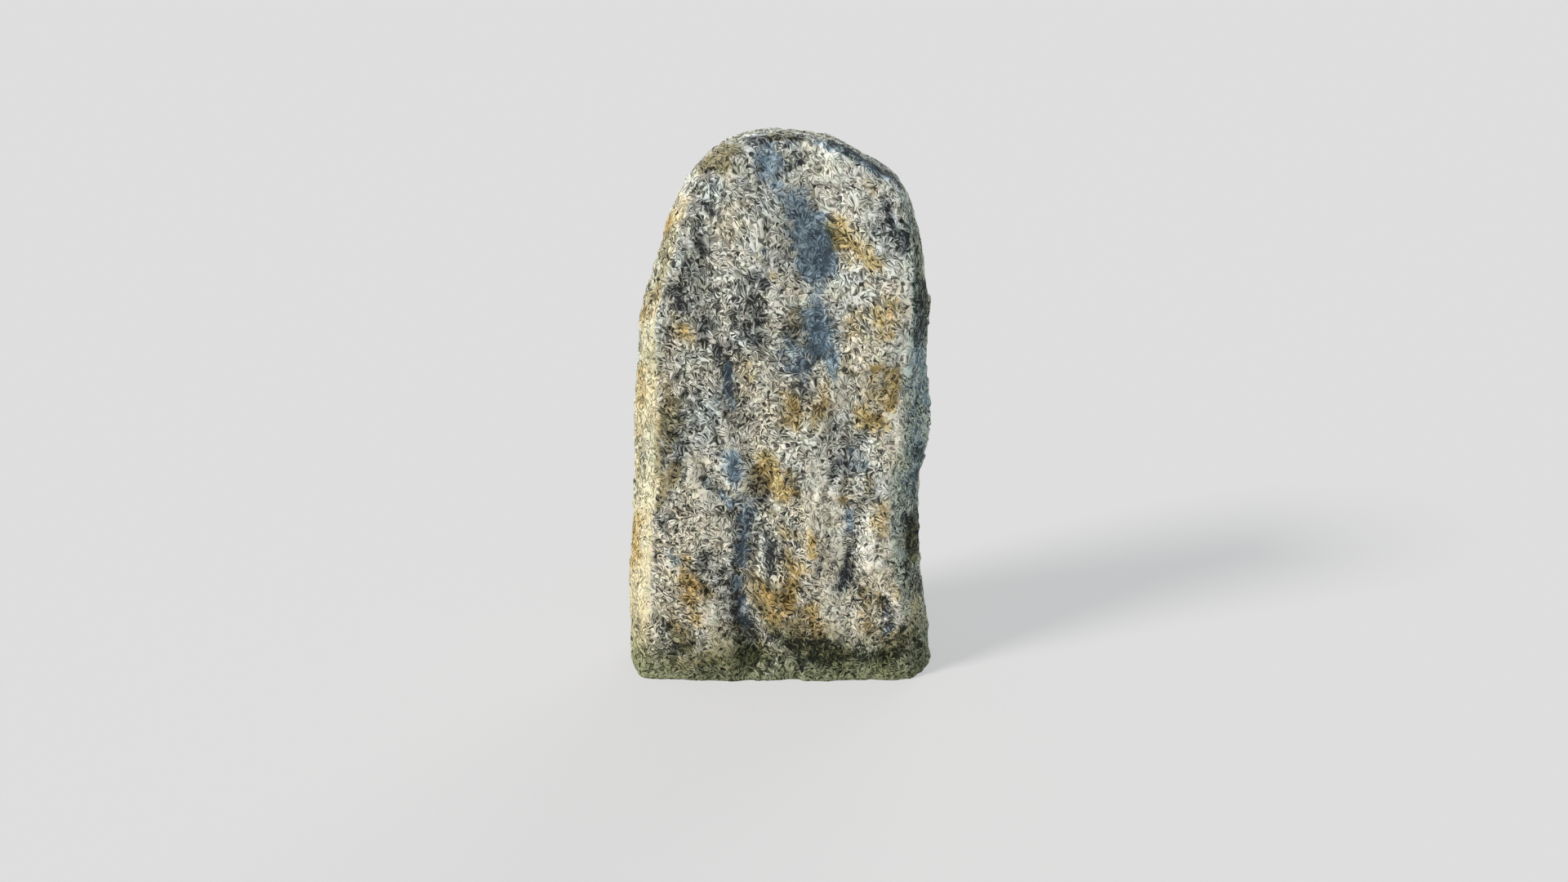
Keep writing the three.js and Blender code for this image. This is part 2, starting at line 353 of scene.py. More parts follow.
def weathering_tree():
    tree = bpy.data.node_groups.new("weathering", "GeometryNodeTree")
    sockets = tree.interface
    sockets.new_socket("Geometry", in_out="OUTPUT", socket_type="NodeSocketGeometry")
    for name, kind in (
        ("Geometry", "NodeSocketGeometry"),
        ("Levels", "NodeSocketInt"),
        ("Chip size", "NodeSocketFloat"),
        ("Chip slant", "NodeSocketFloat"),
        ("Pit size", "NodeSocketFloat"),
        ("Pit depth", "NodeSocketFloat"),
        ("Grain size", "NodeSocketFloat"),
        ("Grain height", "NodeSocketFloat"),
        ("Seed", "NodeSocketInt"),
        ("Material", "NodeSocketMaterial"),
    ):
        sockets.new_socket(name, in_out="INPUT", socket_type=kind)
    size = tree.nodes.new("NodeGroupInput").outputs
    place = tree.nodes.new("GeometryNodeInputPosition").outputs[0]
    normal = tree.nodes.new("GeometryNodeInputNormal").outputs[0]
    height_above_foot = add_node(tree, "ShaderNodeSeparateXYZ", {0: place}).outputs["Z"]

    on_foot = calc(tree, "LESS_THAN", height_above_foot, FOOT_TOP)
    subdivided = {"Mesh": size["Geometry"], "Level": size["Levels"], "Edge Crease": on_foot}
    geometry = add_node(tree, "GeometryNodeSubdivisionSurface", subdivided).outputs[0]

    shift = vector(tree, "MULTIPLY", size["Seed"], SEED_SHIFT).outputs[0]
    seeded = vector(tree, "ADD", place, shift).outputs[0]
    chips = chip_height(tree, seeded, size["Chip size"], size["Chip slant"])
    pits = pit_height(tree, seeded, size["Pit size"], size["Pit depth"])
    grain_scale = calc(tree, "DIVIDE", 1.0, size["Grain size"])
    grain = noise_about_zero(tree, seeded, grain_scale, size["Grain height"])
    height = calc(tree, "ADD", calc(tree, "ADD", chips, pits), grain)

    push = vector(tree, "MULTIPLY", normal, height).outputs[0]
    lift = fade(tree, height_above_foot, 0.0, FOOT_FADE)
    foot_stays = add_node(tree, "ShaderNodeCombineXYZ", {"X": 1.0, "Y": 1.0, "Z": lift}).outputs[0]
    offset = vector(tree, "MULTIPLY", push, foot_stays).outputs[0]
    geometry = add_node(tree, "GeometryNodeSetPosition", {"Geometry": geometry, "Offset": offset}).outputs[0]

    for name, steps in CAVITY_STEPS.items():
        geometry = remember(tree, geometry, name, cavity_depth(tree, place, normal, steps), "FLOAT")
    geometry = remember(tree, geometry, "facing", blurred(tree, normal, FACING_STEPS), "FLOAT_VECTOR")

    geometry = add_node(tree, "GeometryNodeSetShadeSmooth", {"Geometry": geometry}).outputs[0]
    geometry = add_node(tree, "GeometryNodeRealizeInstances", {"Geometry": geometry}).outputs[0]
    finish = {"Geometry": geometry, "Material": size["Material"]}
    add_node(tree, "NodeGroupOutput", {0: add_node(tree, "GeometryNodeSetMaterial", finish).outputs[0]})
    return tree


weathering = weathering_tree()
print(len(weathering.nodes), "nodes make the broken surface")

# %% [markdown]
# ## Weather the stone
#
# The modifier's inputs are set by their identifiers, in metres. Two levels of subdivision bring the faces
# down to about five millimetres. The evaluated object then becomes a plain mesh, and the cage is thrown
# away.

# %% Weather the stone
lichened_stone = bpy.data.materials.new("lichened_stone")


def weathered(cage, tree, name, settings):
    modifier = cage.modifiers.new(tree.name, "NODES")
    modifier.node_group = tree
    inputs = [item for item in tree.interface.items_tree if item.in_out == "INPUT"]
    identifiers = {item.name: item.identifier for item in inputs}
    for setting, value in settings.items():
        modifier[identifiers[setting]] = value
    evaluated = cage.evaluated_get(bpy.context.evaluated_depsgraph_get())
    mesh = bpy.data.meshes.new_from_object(evaluated)
    mesh.name = name
    cage.modifiers.clear()
    bpy.data.objects.remove(cage)
    piece = bpy.data.objects.new(name, mesh)
    bpy.context.collection.objects.link(piece)
    return piece


stone = weathered(
    cage,
    weathering,
    "weathered_stone",
    {
        "Levels": 2,
        "Chip size": 0.030,
        "Chip slant": 0.22,
        "Pit size": 0.034,
        "Pit depth": 0.0025,
        "Grain size": 0.013,
        "Grain height": 0.005,
        "Seed": 4,
        "Material": lichened_stone,
    },
)
triangle_count = sum(len(face.vertices) - 2 for face in stone.data.polygons)
print(triangle_count, "triangles,", [attribute.name for attribute in stone.data.attributes])

# %% [markdown]
# ## What grows where
#
# Lichen, algae and dirt each have their own places, and some strokes paint light and shade too: the damp
# and dark strokes in hollows, flutes and grooves are partly painted shade, and pale strokes along ridges and
# arrises partly painted highlight. We write those places down as strokes, like the dabs of a brush: a path
# on the face, in metres across and up, then how far the growth reaches from it, and how thick it is. At a
# thickness of 1 the growth is full along the path, and past 1 it is full further out too.
# Each list runs from the top of the stone down to its foot. Each kind of growth becomes a number on every
# point of the mesh, and the material reads these numbers later and gives them ragged edges.

# %% Strokes on the front
FRONT = {
    "ochre": [
        ([(0.150, 0.965), (0.160, 0.950)], 0.016, 0.35), ([(-0.168, 0.958), (-0.182, 0.930)], 0.020, 1.0),
        ([(0.098, 0.886), (0.112, 0.866)], 0.026, 1.1), ([(0.108, 0.862), (0.150, 0.848)], 0.022, 0.7),
        ([(0.146, 0.842), (0.166, 0.828)], 0.022, 0.8), ([(0.115, 0.830)], 0.016, 0.5),
        ([(-0.010, 0.806)], 0.016, 0.4), ([(0.146, 0.785)], 0.024, 0.3),
        ([(0.200, 0.758), (0.195, 0.735)], 0.024, 0.6), ([(0.172, 0.742), (0.186, 0.705)], 0.022, 0.7),
        ([(-0.190, 0.735)], 0.016, 0.4), ([(0.140, 0.735), (0.135, 0.715)], 0.018, 0.6),
        ([(0.120, 0.718), (0.130, 0.700)], 0.020, 0.5), ([(-0.180, 0.712), (-0.168, 0.700)], 0.020, 0.8),
        ([(-0.062, 0.648), (-0.055, 0.625)], 0.022, 0.6), ([(0.172, 0.640)], 0.016, 0.6),
        ([(0.202, 0.630), (0.204, 0.600), (0.198, 0.568)], 0.018, 1.0), ([(0.134, 0.628)], 0.018, 0.5),
        ([(0.166, 0.620), (0.160, 0.570)], 0.026, 0.5), ([(0.075, 0.620), (0.080, 0.545)], 0.022, 0.45),
        ([(0.185, 0.590), (0.175, 0.560)], 0.040, 0.6), ([(0.020, 0.585), (0.028, 0.540)], 0.026, 0.6),
        ([(0.067, 0.561)], 0.018, 0.6), ([(0.152, 0.548), (0.178, 0.536)], 0.027, 1.0),
        ([(-0.028, 0.466), (-0.012, 0.440), (0.002, 0.400)], 0.024, 1.0),
        ([(0.120, 0.420), (0.118, 0.385)], 0.016, 0.4), ([(0.190, 0.365), (0.195, 0.325)], 0.024, 0.7),
        ([(-0.192, 0.358)], 0.018, 0.5), ([(0.056, 0.318), (0.058, 0.280)], 0.014, 0.8),
        ([(0.004, 0.314)], 0.020, 0.5), ([(0.190, 0.300)], 0.018, 0.4),
        ([(0.017, 0.285), (0.019, 0.245)], 0.013, 0.5), ([(-0.178, 0.262)], 0.016, 0.7),
        ([(0.036, 0.248), (0.018, 0.210), (0.010, 0.165)], 0.024, 0.8),
        ([(-0.182, 0.230), (-0.172, 0.180)], 0.024, 0.9), ([(0.228, 0.195)], 0.018, 0.7),
        ([(-0.028, 0.190), (-0.014, 0.165), (-0.012, 0.140)], 0.022, 0.8),
        ([(0.160, 0.190), (0.168, 0.130), (0.175, 0.090)], 0.016, 0.5),
        ([(0.062, 0.160), (0.070, 0.110)], 0.020, 0.8), ([(-0.168, 0.156), (-0.160, 0.126)], 0.020, 0.6),
    ],
    "stain": [
        # the second stroke on the line below is painted shadow between the main hollow and the ochre, not a
        # stain
        ([(-0.124, 1.006), (-0.104, 1.008)], 0.028, 1.3), ([(0.090, 0.880), (0.096, 0.850)], 0.012, 0.6),
        ([(-0.215, 0.801), (-0.222, 0.780)], 0.016, 0.5), ([(0.030, 0.735), (0.024, 0.700)], 0.020, 0.7),
        ([(0.162, 0.694)], 0.018, 0.6), ([(-0.206, 0.665), (-0.214, 0.640)], 0.016, 0.5),
        ([(0.166, 0.633), (0.182, 0.642)], 0.020, 0.7), ([(-0.216, 0.625)], 0.014, 0.6),
        ([(0.097, 0.624)], 0.014, 0.6), ([(0.092, 0.619), (0.137, 0.636)], 0.016, 0.5),
        ([(0.168, 0.610)], 0.020, 0.5), ([(-0.206, 0.600)], 0.022, 0.6),
        ([(0.018, 0.585), (0.024, 0.565), (0.030, 0.550)], 0.024, 0.6), ([(0.062, 0.580)], 0.020, 0.6),
        ([(0.078, 0.575), (0.060, 0.540)], 0.020, 0.7), ([(-0.200, 0.560), (-0.208, 0.520)], 0.030, 1.1),
        ([(-0.226, 0.540), (-0.226, 0.456)], 0.014, 0.8), ([(0.160, 0.540)], 0.014, 0.6),
        ([(0.006, 0.539)], 0.018, 0.8), ([(0.032, 0.536)], 0.014, 0.7), ([(-0.210, 0.480)], 0.022, 0.7),
        ([(-0.196, 0.450), (-0.206, 0.425)], 0.020, 1.0), ([(0.014, 0.446), (0.030, 0.398)], 0.009, 0.9),
        ([(-0.046, 0.440), (-0.034, 0.410)], 0.020, 0.9), ([(-0.231, 0.440), (-0.224, 0.400)], 0.020, 1.1),
        ([(0.166, 0.430), (0.165, 0.400)], 0.010, 0.8), ([(0.170, 0.390)], 0.018, 0.5),
        ([(0.115, 0.385)], 0.012, 0.8), ([(-0.243, 0.382)], 0.022, 1.3), ([(-0.022, 0.360)], 0.016, 0.6),
        ([(0.034, 0.318), (0.008, 0.328)], 0.018, 0.7), ([(0.004, 0.309)], 0.014, 0.6),
        ([(0.016, 0.280), (0.016, 0.240)], 0.018, 0.7), ([(-0.008, 0.254)], 0.012, 0.8),
        ([(-0.045, 0.211), (-0.042, 0.170), (-0.010, 0.110)], 0.024, 0.9), ([(-0.168, 0.208)], 0.018, 0.5),
        ([(-0.151, 0.206), (-0.140, 0.190)], 0.018, 0.9), ([(0.014, 0.205)], 0.016, 0.7),
        ([(0.160, 0.195), (0.170, 0.160)], 0.012, 0.6), ([(0.190, 0.182), (0.194, 0.168)], 0.016, 0.9),
        ([(0.024, 0.160), (-0.008, 0.190)], 0.022, 0.9), ([(-0.214, 0.150)], 0.020, 0.6),
        ([(-0.202, 0.134)], 0.016, 0.6), ([(0.028, 0.128), (0.027, 0.095), (0.120, 0.050)], 0.032, 1.0),
        ([(-0.090, 0.120), (-0.060, 0.060)], 0.040, 0.5), ([(-0.210, 0.120), (-0.186, 0.082)], 0.022, 1.1),
        ([(0.192, 0.108), (0.205, 0.075)], 0.012, 0.6), ([(0.094, 0.106), (0.060, 0.070)], 0.026, 0.6),
        ([(0.240, 0.096), (0.200, 0.036)], 0.026, 1.0), ([(-0.116, 0.076)], 0.022, 0.7),
        ([(-0.040, 0.050), (-0.200, 0.040)], 0.036, 0.8),
    ],
    # damp stone in the hollows and flutes, and partly painted shade where the key light doesn't reach
    "damp_and_shade": [
        ([(-0.030, 1.035), (-0.020, 0.995)], 0.032, 0.8),
        ([(-0.016, 0.980), (0.006, 0.952), (0.026, 0.934)], 0.022, 0.65), ([(0.018, 0.974)], 0.014, 0.45),
        ([(0.032, 0.926), (0.044, 0.900)], 0.032, 0.9),
        ([(0.052, 0.885), (0.058, 0.860), (0.064, 0.822)], 0.034, 1.3),
        ([(-0.060, 0.865), (-0.035, 0.850)], 0.020, 0.3),
        ([(0.064, 0.805), (0.070, 0.785), (0.060, 0.755)], 0.020, 0.65),
        ([(0.060, 0.730), (0.072, 0.680)], 0.032, 0.95), ([(0.020, 0.680), (0.036, 0.645)], 0.032, 0.6),
        ([(0.094, 0.655), (0.094, 0.630)], 0.018, 0.8),
        ([(-0.094, 0.640), (-0.094, 0.585), (-0.082, 0.545)], 0.013, 0.5),
        ([(0.130, 0.470), (0.150, 0.455)], 0.028, 0.45), ([(-0.092, 0.466), (-0.090, 0.436)], 0.022, 0.8),
        ([(-0.142, 0.432), (-0.132, 0.418)], 0.014, 0.45), ([(-0.104, 0.388), (-0.086, 0.372)], 0.020, 0.5),
        ([(-0.066, 0.374), (-0.062, 0.342)], 0.028, 0.6), ([(0.128, 0.360), (0.129, 0.325)], 0.012, 0.7),
        ([(-0.068, 0.310), (-0.075, 0.258)], 0.018, 0.7), ([(-0.214, 0.300), (-0.205, 0.245)], 0.018, 0.35),
        ([(0.130, 0.290), (0.126, 0.220)], 0.010, 0.35), ([(0.120, 0.232), (0.118, 0.208)], 0.014, 0.4),
        ([(-0.084, 0.222), (-0.090, 0.200)], 0.018, 0.5), ([(-0.076, 0.165), (-0.070, 0.120)], 0.020, 0.5),
        ([(0.206, 0.150), (0.204, 0.100)], 0.019, 0.4), ([(0.228, 0.150), (0.224, 0.110)], 0.020, 0.35),
        ([(-0.064, 0.074)], 0.020, 0.3),
    ],
    # black lichen, and partly painted shade in the grooves and hollows
    "dark": [
        ([(0.014, 1.033)], 0.020, 0.8), ([(0.026, 1.016), (0.028, 1.000)], 0.008, 1.0),
        ([(-0.116, 1.006), (-0.090, 1.016)], 0.018, 0.7), ([(-0.119, 1.006)], 0.020, 0.9),
        ([(-0.114, 0.960)], 0.020, 0.75), ([(-0.107, 0.935)], 0.020, 0.5),
        ([(-0.128, 0.930), (-0.126, 0.925)], 0.014, 0.9),
        ([(0.180, 0.928), (0.188, 0.908), (0.200, 0.884)], 0.009, 0.9), ([(-0.114, 0.915)], 0.018, 0.7),
        ([(-0.144, 0.886), (-0.138, 0.850)], 0.024, 0.8),
        ([(0.078, 0.880), (0.086, 0.850), (0.088, 0.830), (0.077, 0.798)], 0.014, 0.8),
        ([(0.208, 0.874), (0.218, 0.856)], 0.017, 1.2), ([(0.166, 0.872)], 0.016, 0.6),
        ([(-0.206, 0.870), (-0.208, 0.812)], 0.012, 0.7), ([(-0.158, 0.842), (-0.164, 0.805)], 0.026, 0.6),
        ([(-0.050, 0.800), (-0.052, 0.760)], 0.018, 0.9),
        ([(-0.070, 0.790), (-0.076, 0.730), (-0.084, 0.690), (-0.074, 0.655)], 0.020, 0.7),
        ([(-0.028, 0.788)], 0.012, 1.3), ([(-0.182, 0.775), (-0.176, 0.750)], 0.028, 0.9),
        ([(-0.040, 0.755), (-0.052, 0.712)], 0.017, 0.9), ([(-0.206, 0.752)], 0.012, 0.5),
        ([(-0.003, 0.728)], 0.014, 0.6), ([(-0.130, 0.728), (-0.138, 0.690)], 0.020, 0.8),
        ([(0.031, 0.712)], 0.014, 0.7), ([(0.013, 0.708)], 0.018, 0.9),
        ([(-0.064, 0.705), (-0.044, 0.690)], 0.016, 0.9), ([(-0.074, 0.695)], 0.020, 0.9),
        ([(0.010, 0.683)], 0.018, 0.5), ([(0.010, 0.670)], 0.018, 0.6),
        ([(-0.115, 0.670), (-0.098, 0.645), (-0.098, 0.600)], 0.016, 0.9),
        ([(-0.134, 0.668), (-0.168, 0.656)], 0.016, 0.5), ([(-0.113, 0.646)], 0.016, 0.7),
        ([(0.030, 0.640), (0.072, 0.660), (0.080, 0.700)], 0.034, 0.7), ([(0.094, 0.640)], 0.014, 0.6),
        ([(-0.096, 0.640), (-0.094, 0.590)], 0.008, 1.3), ([(-0.044, 0.633)], 0.014, 0.5),
        ([(0.134, 0.631)], 0.018, 0.7), ([(-0.186, 0.619)], 0.018, 0.6), ([(0.039, 0.613)], 0.020, 0.9),
        ([(0.020, 0.595), (0.034, 0.590)], 0.014, 0.5), ([(-0.113, 0.588)], 0.020, 0.6),
        ([(-0.160, 0.560), (-0.140, 0.520)], 0.040, 0.4), ([(-0.129, 0.553)], 0.020, 0.7),
        ([(-0.188, 0.549)], 0.018, 0.6), ([(-0.192, 0.540), (-0.188, 0.440)], 0.018, 0.7),
        ([(-0.222, 0.535)], 0.014, 0.5), ([(0.050, 0.524)], 0.016, 0.5), ([(-0.219, 0.480)], 0.012, 0.6),
        ([(-0.214, 0.464)], 0.014, 0.6), ([(-0.092, 0.458)], 0.018, 0.9),
        ([(-0.089, 0.455), (-0.088, 0.432)], 0.017, 1.0), ([(0.130, 0.450), (0.104, 0.458)], 0.018, 0.5),
        ([(-0.152, 0.432), (-0.130, 0.406), (-0.104, 0.400), (-0.098, 0.380)], 0.009, 0.55),
        ([(0.173, 0.400)], 0.016, 0.7), ([(-0.025, 0.367)], 0.016, 0.6),
        ([(0.132, 0.350), (0.132, 0.320)], 0.008, 0.8), ([(-0.226, 0.345), (-0.220, 0.325)], 0.014, 0.7),
        ([(-0.066, 0.344), (-0.080, 0.310), (-0.084, 0.260)], 0.020, 1.0),
        ([(0.258, 0.300), (0.258, 0.276)], 0.022, 1.4), ([(-0.023, 0.288), (-0.022, 0.240)], 0.013, 1.3),
        ([(0.130, 0.280), (0.124, 0.230)], 0.008, 0.8), ([(-0.150, 0.275), (-0.152, 0.250)], 0.018, 0.9),
        ([(0.075, 0.255), (0.074, 0.235)], 0.006, 0.8), ([(-0.032, 0.255)], 0.010, 0.7),
        ([(-0.136, 0.246), (-0.123, 0.208)], 0.014, 0.7), ([(-0.151, 0.243)], 0.018, 0.9),
        ([(-0.026, 0.235), (-0.022, 0.205)], 0.007, 0.9), ([(-0.112, 0.235), (-0.104, 0.185)], 0.022, 0.8),
        ([(0.120, 0.228), (0.118, 0.202)], 0.014, 1.0), ([(-0.144, 0.226)], 0.014, 0.7),
        ([(-0.094, 0.220), (-0.090, 0.186)], 0.018, 1.0), ([(0.248, 0.214)], 0.020, 0.8),
        ([(0.155, 0.190)], 0.012, 0.7), ([(-0.078, 0.182), (-0.092, 0.144)], 0.016, 1.0),
        ([(0.200, 0.176), (0.212, 0.150), (0.216, 0.110)], 0.015, 0.9), ([(-0.064, 0.154)], 0.014, 0.8),
        ([(-0.226, 0.122), (-0.222, 0.100)], 0.016, 0.8), ([(-0.070, 0.120), (-0.064, 0.096)], 0.024, 0.9),
        ([(0.236, 0.106), (0.240, 0.055), (0.262, 0.050)], 0.024, 0.9), ([(-0.178, 0.086)], 0.020, 0.8),
        ([(-0.190, 0.076), (-0.216, 0.064)], 0.024, 0.8), ([(0.110, 0.070), (-0.005, 0.090)], 0.034, 0.8),
        ([(0.160, 0.060), (0.190, 0.050)], 0.026, 0.8), ([(0.044, 0.046), (0.170, 0.060)], 0.026, 0.8),
        ([(0.000, 0.040), (-0.060, 0.050)], 0.036, 0.5),
    ],
    # pale lichen, and partly painted highlight along the ridges
    "pale": [
        ([(0.081, 1.026)], 0.022, 2.2), ([(-0.054, 1.022)], 0.016, 1.4),
        ([(0.060, 1.020), (0.090, 0.960)], 0.048, 1.2), ([(-0.066, 1.020)], 0.022, 1.0),
        ([(0.120, 1.000), (0.152, 0.984)], 0.024, 1.6), ([(-0.036, 0.990), (0.006, 0.954)], 0.022, 0.8),
        ([(0.044, 0.955), (0.130, 0.950), (0.120, 0.905)], 0.036, 0.9),
        ([(0.056, 0.952), (0.094, 0.924)], 0.024, 1.8),
        ([(-0.100, 0.950), (-0.060, 0.900), (-0.080, 0.840)], 0.045, 0.4), ([(0.156, 0.932)], 0.018, 1.7),
        ([(0.189, 0.906)], 0.010, 1.2), ([(0.157, 0.905)], 0.018, 1.0), ([(-0.188, 0.884)], 0.014, 1.8),
        ([(-0.126, 0.873)], 0.012, 1.4), ([(0.186, 0.842), (0.200, 0.790)], 0.026, 1.5),
        ([(0.048, 0.840)], 0.014, 0.8), ([(-0.022, 0.818)], 0.020, 1.7),
        ([(0.115, 0.815), (0.130, 0.780), (0.100, 0.720)], 0.036, 0.7),
        ([(-0.005, 0.785), (0.012, 0.765)], 0.018, 1.0), ([(0.100, 0.732)], 0.022, 2.2),
        ([(0.098, 0.714)], 0.014, 2.2), ([(-0.156, 0.693)], 0.014, 0.8), ([(0.101, 0.687)], 0.014, 1.2),
        ([(0.220, 0.680), (0.219, 0.640)], 0.016, 2.4), ([(-0.003, 0.619), (-0.010, 0.593)], 0.014, 1.2),
        ([(-0.012, 0.618)], 0.018, 0.8), ([(-0.082, 0.607)], 0.010, 1.2),
        ([(0.116, 0.575), (0.114, 0.545)], 0.020, 2.0), ([(-0.034, 0.572), (-0.024, 0.560)], 0.020, 0.9),
        ([(0.210, 0.560), (0.206, 0.480)], 0.014, 2.2),
        ([(-0.246, 0.560), (-0.248, 0.480), (-0.254, 0.430)], 0.011, 1.0), ([(0.140, 0.524)], 0.014, 1.2),
        ([(0.104, 0.512)], 0.016, 1.3), ([(-0.100, 0.500), (-0.080, 0.415)], 0.018, 0.6),
        ([(0.078, 0.493)], 0.014, 1.5), ([(0.180, 0.480), (0.160, 0.500)], 0.020, 0.5),
        ([(-0.148, 0.474)], 0.016, 0.9), ([(0.062, 0.466), (0.064, 0.400), (0.066, 0.330)], 0.014, 2.2),
        ([(-0.168, 0.462), (-0.163, 0.425), (-0.142, 0.396), (-0.118, 0.385)], 0.010, 2.2),
        ([(-0.140, 0.458)], 0.018, 2.4), ([(0.208, 0.440), (0.208, 0.400)], 0.014, 1.8),
        ([(-0.127, 0.432)], 0.014, 1.4),
        ([(0.094, 0.410), (0.107, 0.370), (0.114, 0.320), (0.110, 0.270)], 0.010, 2.8),
        ([(0.140, 0.400)], 0.016, 0.8), ([(-0.058, 0.378), (-0.076, 0.352)], 0.009, 1.0),
        ([(0.203, 0.372)], 0.012, 1.4), ([(-0.203, 0.368)], 0.012, 1.2),
        ([(0.152, 0.350), (0.150, 0.260), (0.140, 0.236)], 0.010, 1.3),
        ([(0.160, 0.330), (0.172, 0.270), (0.180, 0.220)], 0.030, 1.3),
        ([(-0.120, 0.325), (-0.112, 0.305)], 0.020, 0.9), ([(0.206, 0.320), (0.200, 0.240)], 0.014, 1.8),
        ([(0.200, 0.305)], 0.014, 1.8), ([(0.138, 0.302)], 0.014, 1.0),
        ([(0.106, 0.300), (0.104, 0.278)], 0.016, 2.6), ([(-0.038, 0.294), (-0.036, 0.270)], 0.006, 1.4),
        ([(0.062, 0.292)], 0.010, 1.2), ([(0.198, 0.260)], 0.016, 2.4),
        ([(-0.062, 0.245), (-0.060, 0.192), (-0.064, 0.150)], 0.010, 1.4),
        ([(0.086, 0.225), (0.094, 0.170)], 0.024, 1.3), ([(-0.252, 0.220), (-0.250, 0.160)], 0.016, 1.8),
        ([(0.242, 0.200), (0.240, 0.180)], 0.012, 0.8), ([(-0.104, 0.196), (-0.100, 0.160)], 0.008, 1.2),
        ([(0.108, 0.176), (0.135, 0.115)], 0.034, 1.5),
        ([(-0.138, 0.160), (-0.134, 0.120), (-0.143, 0.076)], 0.020, 1.8),
        ([(0.150, 0.130), (0.180, 0.060)], 0.007, 1.2),
    ],
}
print({growth: len(strokes) for growth, strokes in FRONT.items()}, "strokes on the front")

# %% [markdown]
# The canted edges and the top have their own strokes. The left edge is pale, with ochre and yellow-green
# lichen, and its pale strokes are partly painted sunlight on the side that faces the key light. The right
# edge is olive and dark at the top and the bottom, and blue-grey between: partly its own colour, and partly
# painted shade on the side away from the key light. On the back, chance places the strokes, with a fixed
# seed, because no one knows them.

# %% Strokes on the edges
LEFT_EDGE = {
    "ochre": [
        ([(-0.182, 0.965), (-0.196, 0.925)], 0.026, 0.9), ([(-0.250, 0.750)], 0.020, 0.6),
        ([(-0.246, 0.740), (-0.262, 0.600), (-0.276, 0.440)], 0.009, 0.4),
        ([(-0.262, 0.650), (-0.264, 0.590)], 0.018, 0.6), ([(-0.288, 0.350), (-0.290, 0.260)], 0.026, 0.7),
    ],
    "stain": [
        ([(-0.202, 0.905), (-0.212, 0.825)], 0.012, 0.6), ([(-0.215, 0.820), (-0.225, 0.780)], 0.018, 0.6),
        ([(-0.240, 0.790), (-0.250, 0.760)], 0.014, 0.6), ([(-0.236, 0.680), (-0.238, 0.650)], 0.016, 0.4),
        ([(-0.236, 0.560), (-0.240, 0.510)], 0.014, 0.4), ([(-0.226, 0.540), (-0.232, 0.440)], 0.011, 0.6),
    ],
    "damp_and_shade": [],
    "dark": [
        ([(-0.225, 0.850), (-0.240, 0.790)], 0.020, 0.6), ([(-0.262, 0.715), (-0.264, 0.680)], 0.012, 0.6),
    ],
    # pale lichen, and partly painted sunlight on this edge
    "pale": [
        ([(-0.226, 0.740), (-0.237, 0.600), (-0.250, 0.300), (-0.260, 0.150)], 0.015, 1.2),
        ([(-0.248, 0.250), (-0.258, 0.160)], 0.028, 2.6),
    ],
}
# the right edge's stain, damp and dark strokes are partly painted shade, and its pale strokes along the
# arris partly white lichen and partly painted highlight
RIGHT_EDGE = {
    "ochre": [([(0.266, 0.200), (0.270, 0.160)], 0.024, 0.5)],
    "stain": [
        ([(0.235, 0.920), (0.255, 0.780)], 0.030, 0.5), ([(0.268, 0.430)], 0.020, 0.5),
        ([(0.258, 0.330), (0.258, 0.270)], 0.022, 1.1), ([(0.264, 0.120), (0.262, 0.080)], 0.030, 0.7),
    ],
    "damp_and_shade": [
        ([(0.140, 1.015), (0.215, 0.960)], 0.022, 0.4), ([(0.262, 0.680), (0.265, 0.600)], 0.040, 0.6),
        ([(0.262, 0.530), (0.255, 0.420)], 0.040, 0.5), ([(0.240, 0.270)], 0.020, 0.6),
    ],
    "dark": [
        ([(0.215, 0.955), (0.240, 0.860)], 0.030, 0.5), ([(0.250, 0.800), (0.256, 0.715)], 0.036, 0.95),
        ([(0.262, 0.565), (0.262, 0.545)], 0.016, 0.5), ([(0.262, 0.500), (0.262, 0.480)], 0.020, 0.9),
        ([(0.272, 0.450), (0.258, 0.398)], 0.020, 0.9), ([(0.266, 0.360), (0.270, 0.320)], 0.022, 1.2),
        ([(0.252, 0.350), (0.262, 0.290)], 0.026, 1.0), ([(0.256, 0.230), (0.262, 0.200)], 0.034, 0.8),
        ([(0.270, 0.090), (0.270, 0.050)], 0.034, 0.7),
    ],
    "pale": [
        ([(0.223, 0.690), (0.224, 0.640)], 0.012, 1.6), ([(0.216, 0.560), (0.213, 0.500)], 0.011, 1.4),
        ([(0.211, 0.440), (0.211, 0.360)], 0.011, 1.4), ([(0.235, 0.270)], 0.014, 0.8),
    ],
}
TOP_EDGE = {
    "ochre": [([(0.030, 1.045)], 0.016, 0.5)],
    "stain": [([(0.000, 1.050)], 0.034, 0.8), ([(-0.122, 1.016), (-0.092, 1.028)], 0.030, 1.0)],
    # the damp stroke, and the second dark stroke below, lie on the top's right slope: painted shade
    "damp_and_shade": [([(0.070, 1.044), (0.130, 1.016), (0.180, 0.985)], 0.020, 0.5)],
    "dark": [
        ([(-0.040, 1.046), (0.030, 1.046)], 0.024, 1.0), ([(0.090, 1.044), (0.200, 0.986)], 0.018, 1.1),
    ],
    "pale": [],
}
for name, edge in (("left", LEFT_EDGE), ("right", RIGHT_EDGE), ("top", TOP_EDGE)):
    print(sum(len(strokes) for strokes in edge.values()), "strokes on the edge at the", name)

